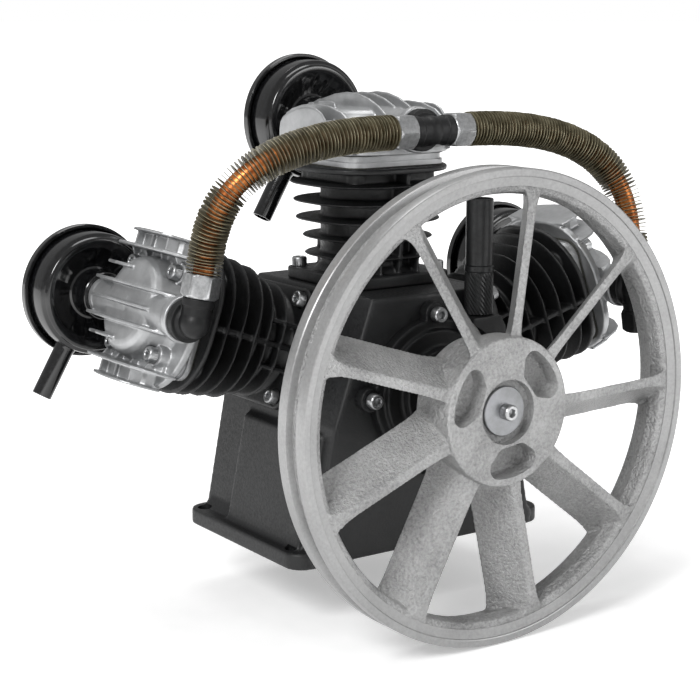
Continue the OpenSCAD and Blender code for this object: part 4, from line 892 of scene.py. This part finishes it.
def cover(name, node, spin, profile):
    body = Skins()
    place = Matrix.Rotation(math.radians(spin), 4, "Z") @ on_crank()
    body.add(turned([(26.1, 88.02), (60, 88.02), (60, 97), (59, 98)] + profile, 128), place)
    for a in range(0, 360, 90):
        ear = place @ Matrix.Rotation(math.radians(a), 4, "Z")
        body.add(rod(10, 88.02, 98, 40, 0.8), ear @ Matrix.Translation((64, 0, 0)))
    obj = cast(name, body, 0.9, 2)
    holes = Skins()
    for a in range(0, 360, 90):
        hole = Matrix.Rotation(math.radians(a), 4, "Z") @ Matrix.Translation((COVER_SCREWS_R, 0, 0))
        holes.add(rod(4.2, 80, 104, 24), place @ hole)
    return piece(machine(thin(obj, 0.4), holes), "housing", [black_machined], [node], 40)


front_face = [(52, COVER_FACE), (51.6, 102.2), (50.8, 103), (40, 103), (37.8, 104), (37.2, 111.2),
              (36.4, 112), (26.1, 112)]
rear_face = [(46, COVER_FACE), (43.2, 99.5), (43.2, 102.2), (42.4, 103), (36.1, 103), (36.1, 90), (26.1, 90)]
cover("front_cover_casting", "front_cover", 0, front_face)
cover("rear_cover_casting", "rear_cover", 180, rear_face)
cover_screws = Skins()
for spin in (0, 180):
    for a in range(0, 360, 90):
        seat = on_crank(a) @ Matrix.Translation((COVER_SCREWS_R, 0, COVER_FACE))
        cover_screws.add(cap_screw(12), Matrix.Rotation(math.radians(spin), 4, "Z") @ seat)
piece(bench("cover_cap_screws", cover_screws.mesh("cover_cap_screws")), "housing", [zinc_steel],
      ["cover_screws"], 30)

# Solids whose own shape is right take a finish

carried = {
    ground_steel: ["front_bearing", "rear_bearing", "wrist_pin_left", "wrist_pin_center", "wrist_pin_right",
                   "rings_left", "rings_center", "rings_right"],
    forged_steel: ["crankshaft", "rod_big_ends", "rod_left", "rod_center", "rod_right"],
    cast_aluminium: ["piston_left", "piston_center", "piston_right",
                     "valve_plate_left", "valve_plate_center", "valve_plate_right"],
    gasket_fibre: ["cover_gaskets", "cylinder_gaskets", "head_gaskets"],
    wool_felt: ["filter_elements"],
    seal_rubber: ["shaft_seal"],
    turned_brass: ["sight_glass"],
    zinc_steel: ["drain_plug", "flywheel_key"],
}
for finish, names in carried.items():
    for name in names:
        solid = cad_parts[name]
        if not solid.data.materials:
            solid.data.materials.append(None)
        for place in solid.material_slots:
            place.material = finish

# Floor, lamps, world and camera

def studio_white(name, code):
    """Matt pale floor: it takes the shadow, and its far part goes white for the eye."""
    finish, shader, place = finish_start(name, roughness=0.95)
    speck = add(finish, "ShaderNodeTexNoise", {"Scale": 40.0, "Detail": 2.0}, Vector=place)
    wire(finish, ramp(finish, speck.outputs["Fac"], [(0.3, code), (0.7, "#f6f6f6")]), shader, "Base Color")
    rays = add(finish, "ShaderNodeLightPath")
    seen = add(finish, "ShaderNodeMath", {"operation": "MAXIMUM"},
               i0=rays.outputs["Is Camera Ray"], i1=rays.outputs["Is Glossy Ray"])
    far = add(finish, "ShaderNodeVectorMath", {"operation": "LENGTH"}, i0=place)
    rising = spread(finish, far.outputs["Value"], 0.25, 1.1, 0.34, 1.0)
    glow = add(finish, "ShaderNodeMath", {"operation": "MULTIPLY"}, i0=seen.outputs[0], i1=rising)
    shader.inputs["Emission Color"].default_value = linear("#ffffff")
    wire(finish, glow.outputs[0], shader, "Emission Strength")
    return finish


floor_mesh = bpy.data.meshes.new("studio_floor")
floor_mesh.from_pydata([(-60, -60, 0), (60, -60, 0), (60, 60, 0), (-60, 60, 0)], [], [(0, 1, 2, 3)])
floor = bench("studio_floor", floor_mesh)
floor.location.z = (CRANK_H - RIM_R - 0.6) * MM
floor_mesh.materials.append(studio_white("matt_pale_floor", "#f0f0f0"))

world = bpy.data.worlds.new("studio_world")
bpy.context.scene.world = world
world.use_nodes = True
tree = world.node_tree
tree.nodes.clear()
soft = tree.nodes.new("ShaderNodeBackground")
soft.inputs["Color"].default_value = linear("#ffffff")
soft.inputs["Strength"].default_value = 0.42
seen = tree.nodes.new("ShaderNodeBackground")
seen.inputs["Color"].default_value = linear("#ffffff")
seen.inputs["Strength"].default_value = 1.0
rays = tree.nodes.new("ShaderNodeLightPath")
either = tree.nodes.new("ShaderNodeMath")
either.operation = "MAXIMUM"
tree.links.new(rays.outputs["Is Camera Ray"], either.inputs[0])
tree.links.new(rays.outputs["Is Transmission Ray"], either.inputs[1])
mix = tree.nodes.new("ShaderNodeMixShader")
tree.links.new(either.outputs[0], mix.inputs[0])
tree.links.new(soft.outputs[0], mix.inputs[1])
tree.links.new(seen.outputs[0], mix.inputs[2])
out = tree.nodes.new("ShaderNodeOutputWorld")
tree.links.new(mix.outputs[0], out.inputs["Surface"])


def lamp(name, place, target, size, watts):
    light = bpy.data.lights.new(name, "AREA")
    light.shape, light.size, light.energy = "DISK", size, watts
    obj = bpy.data.objects.new(name, light)
    obj.location = place
    obj.rotation_euler = (Vector(target) - Vector(place)).to_track_quat("-Z", "Y").to_euler()
    bpy.context.scene.collection.objects.link(obj)
    return obj


lamp("key_softbox", (-1.9, -1.0, 1.7), (0, 0, 0.18), 0.9, 40)
lamp("fill_softbox", (1.3, -2.0, 1.0), (0, 0, 0.18), 1.2, 14)
lamp("top_softbox", (0.1, 0.4, 2.3), (0, 0, 0.2), 1.4, 16)

view = bpy.data.cameras.new("photograph_view")
view.sensor_width, view.lens, view.clip_start, view.clip_end = 36, 88.64, 0.05, 50
eye = bpy.data.objects.new("photograph_view", view)
azimuth, height = math.radians(-34.619), math.radians(11.319)
back = Vector((math.sin(azimuth) * math.cos(height), -math.cos(azimuth) * math.cos(height), math.sin(height)))
eye.location = Vector((-843.9, -1196.5, 447.5)) * MM
eye.rotation_euler = back.to_track_quat("Z", "Y").to_euler()
bpy.context.scene.collection.objects.link(eye)
bpy.context.scene.camera = eye
bpy.context.scene.view_settings.view_transform = "Standard"

bpy.context.view_layer.update()
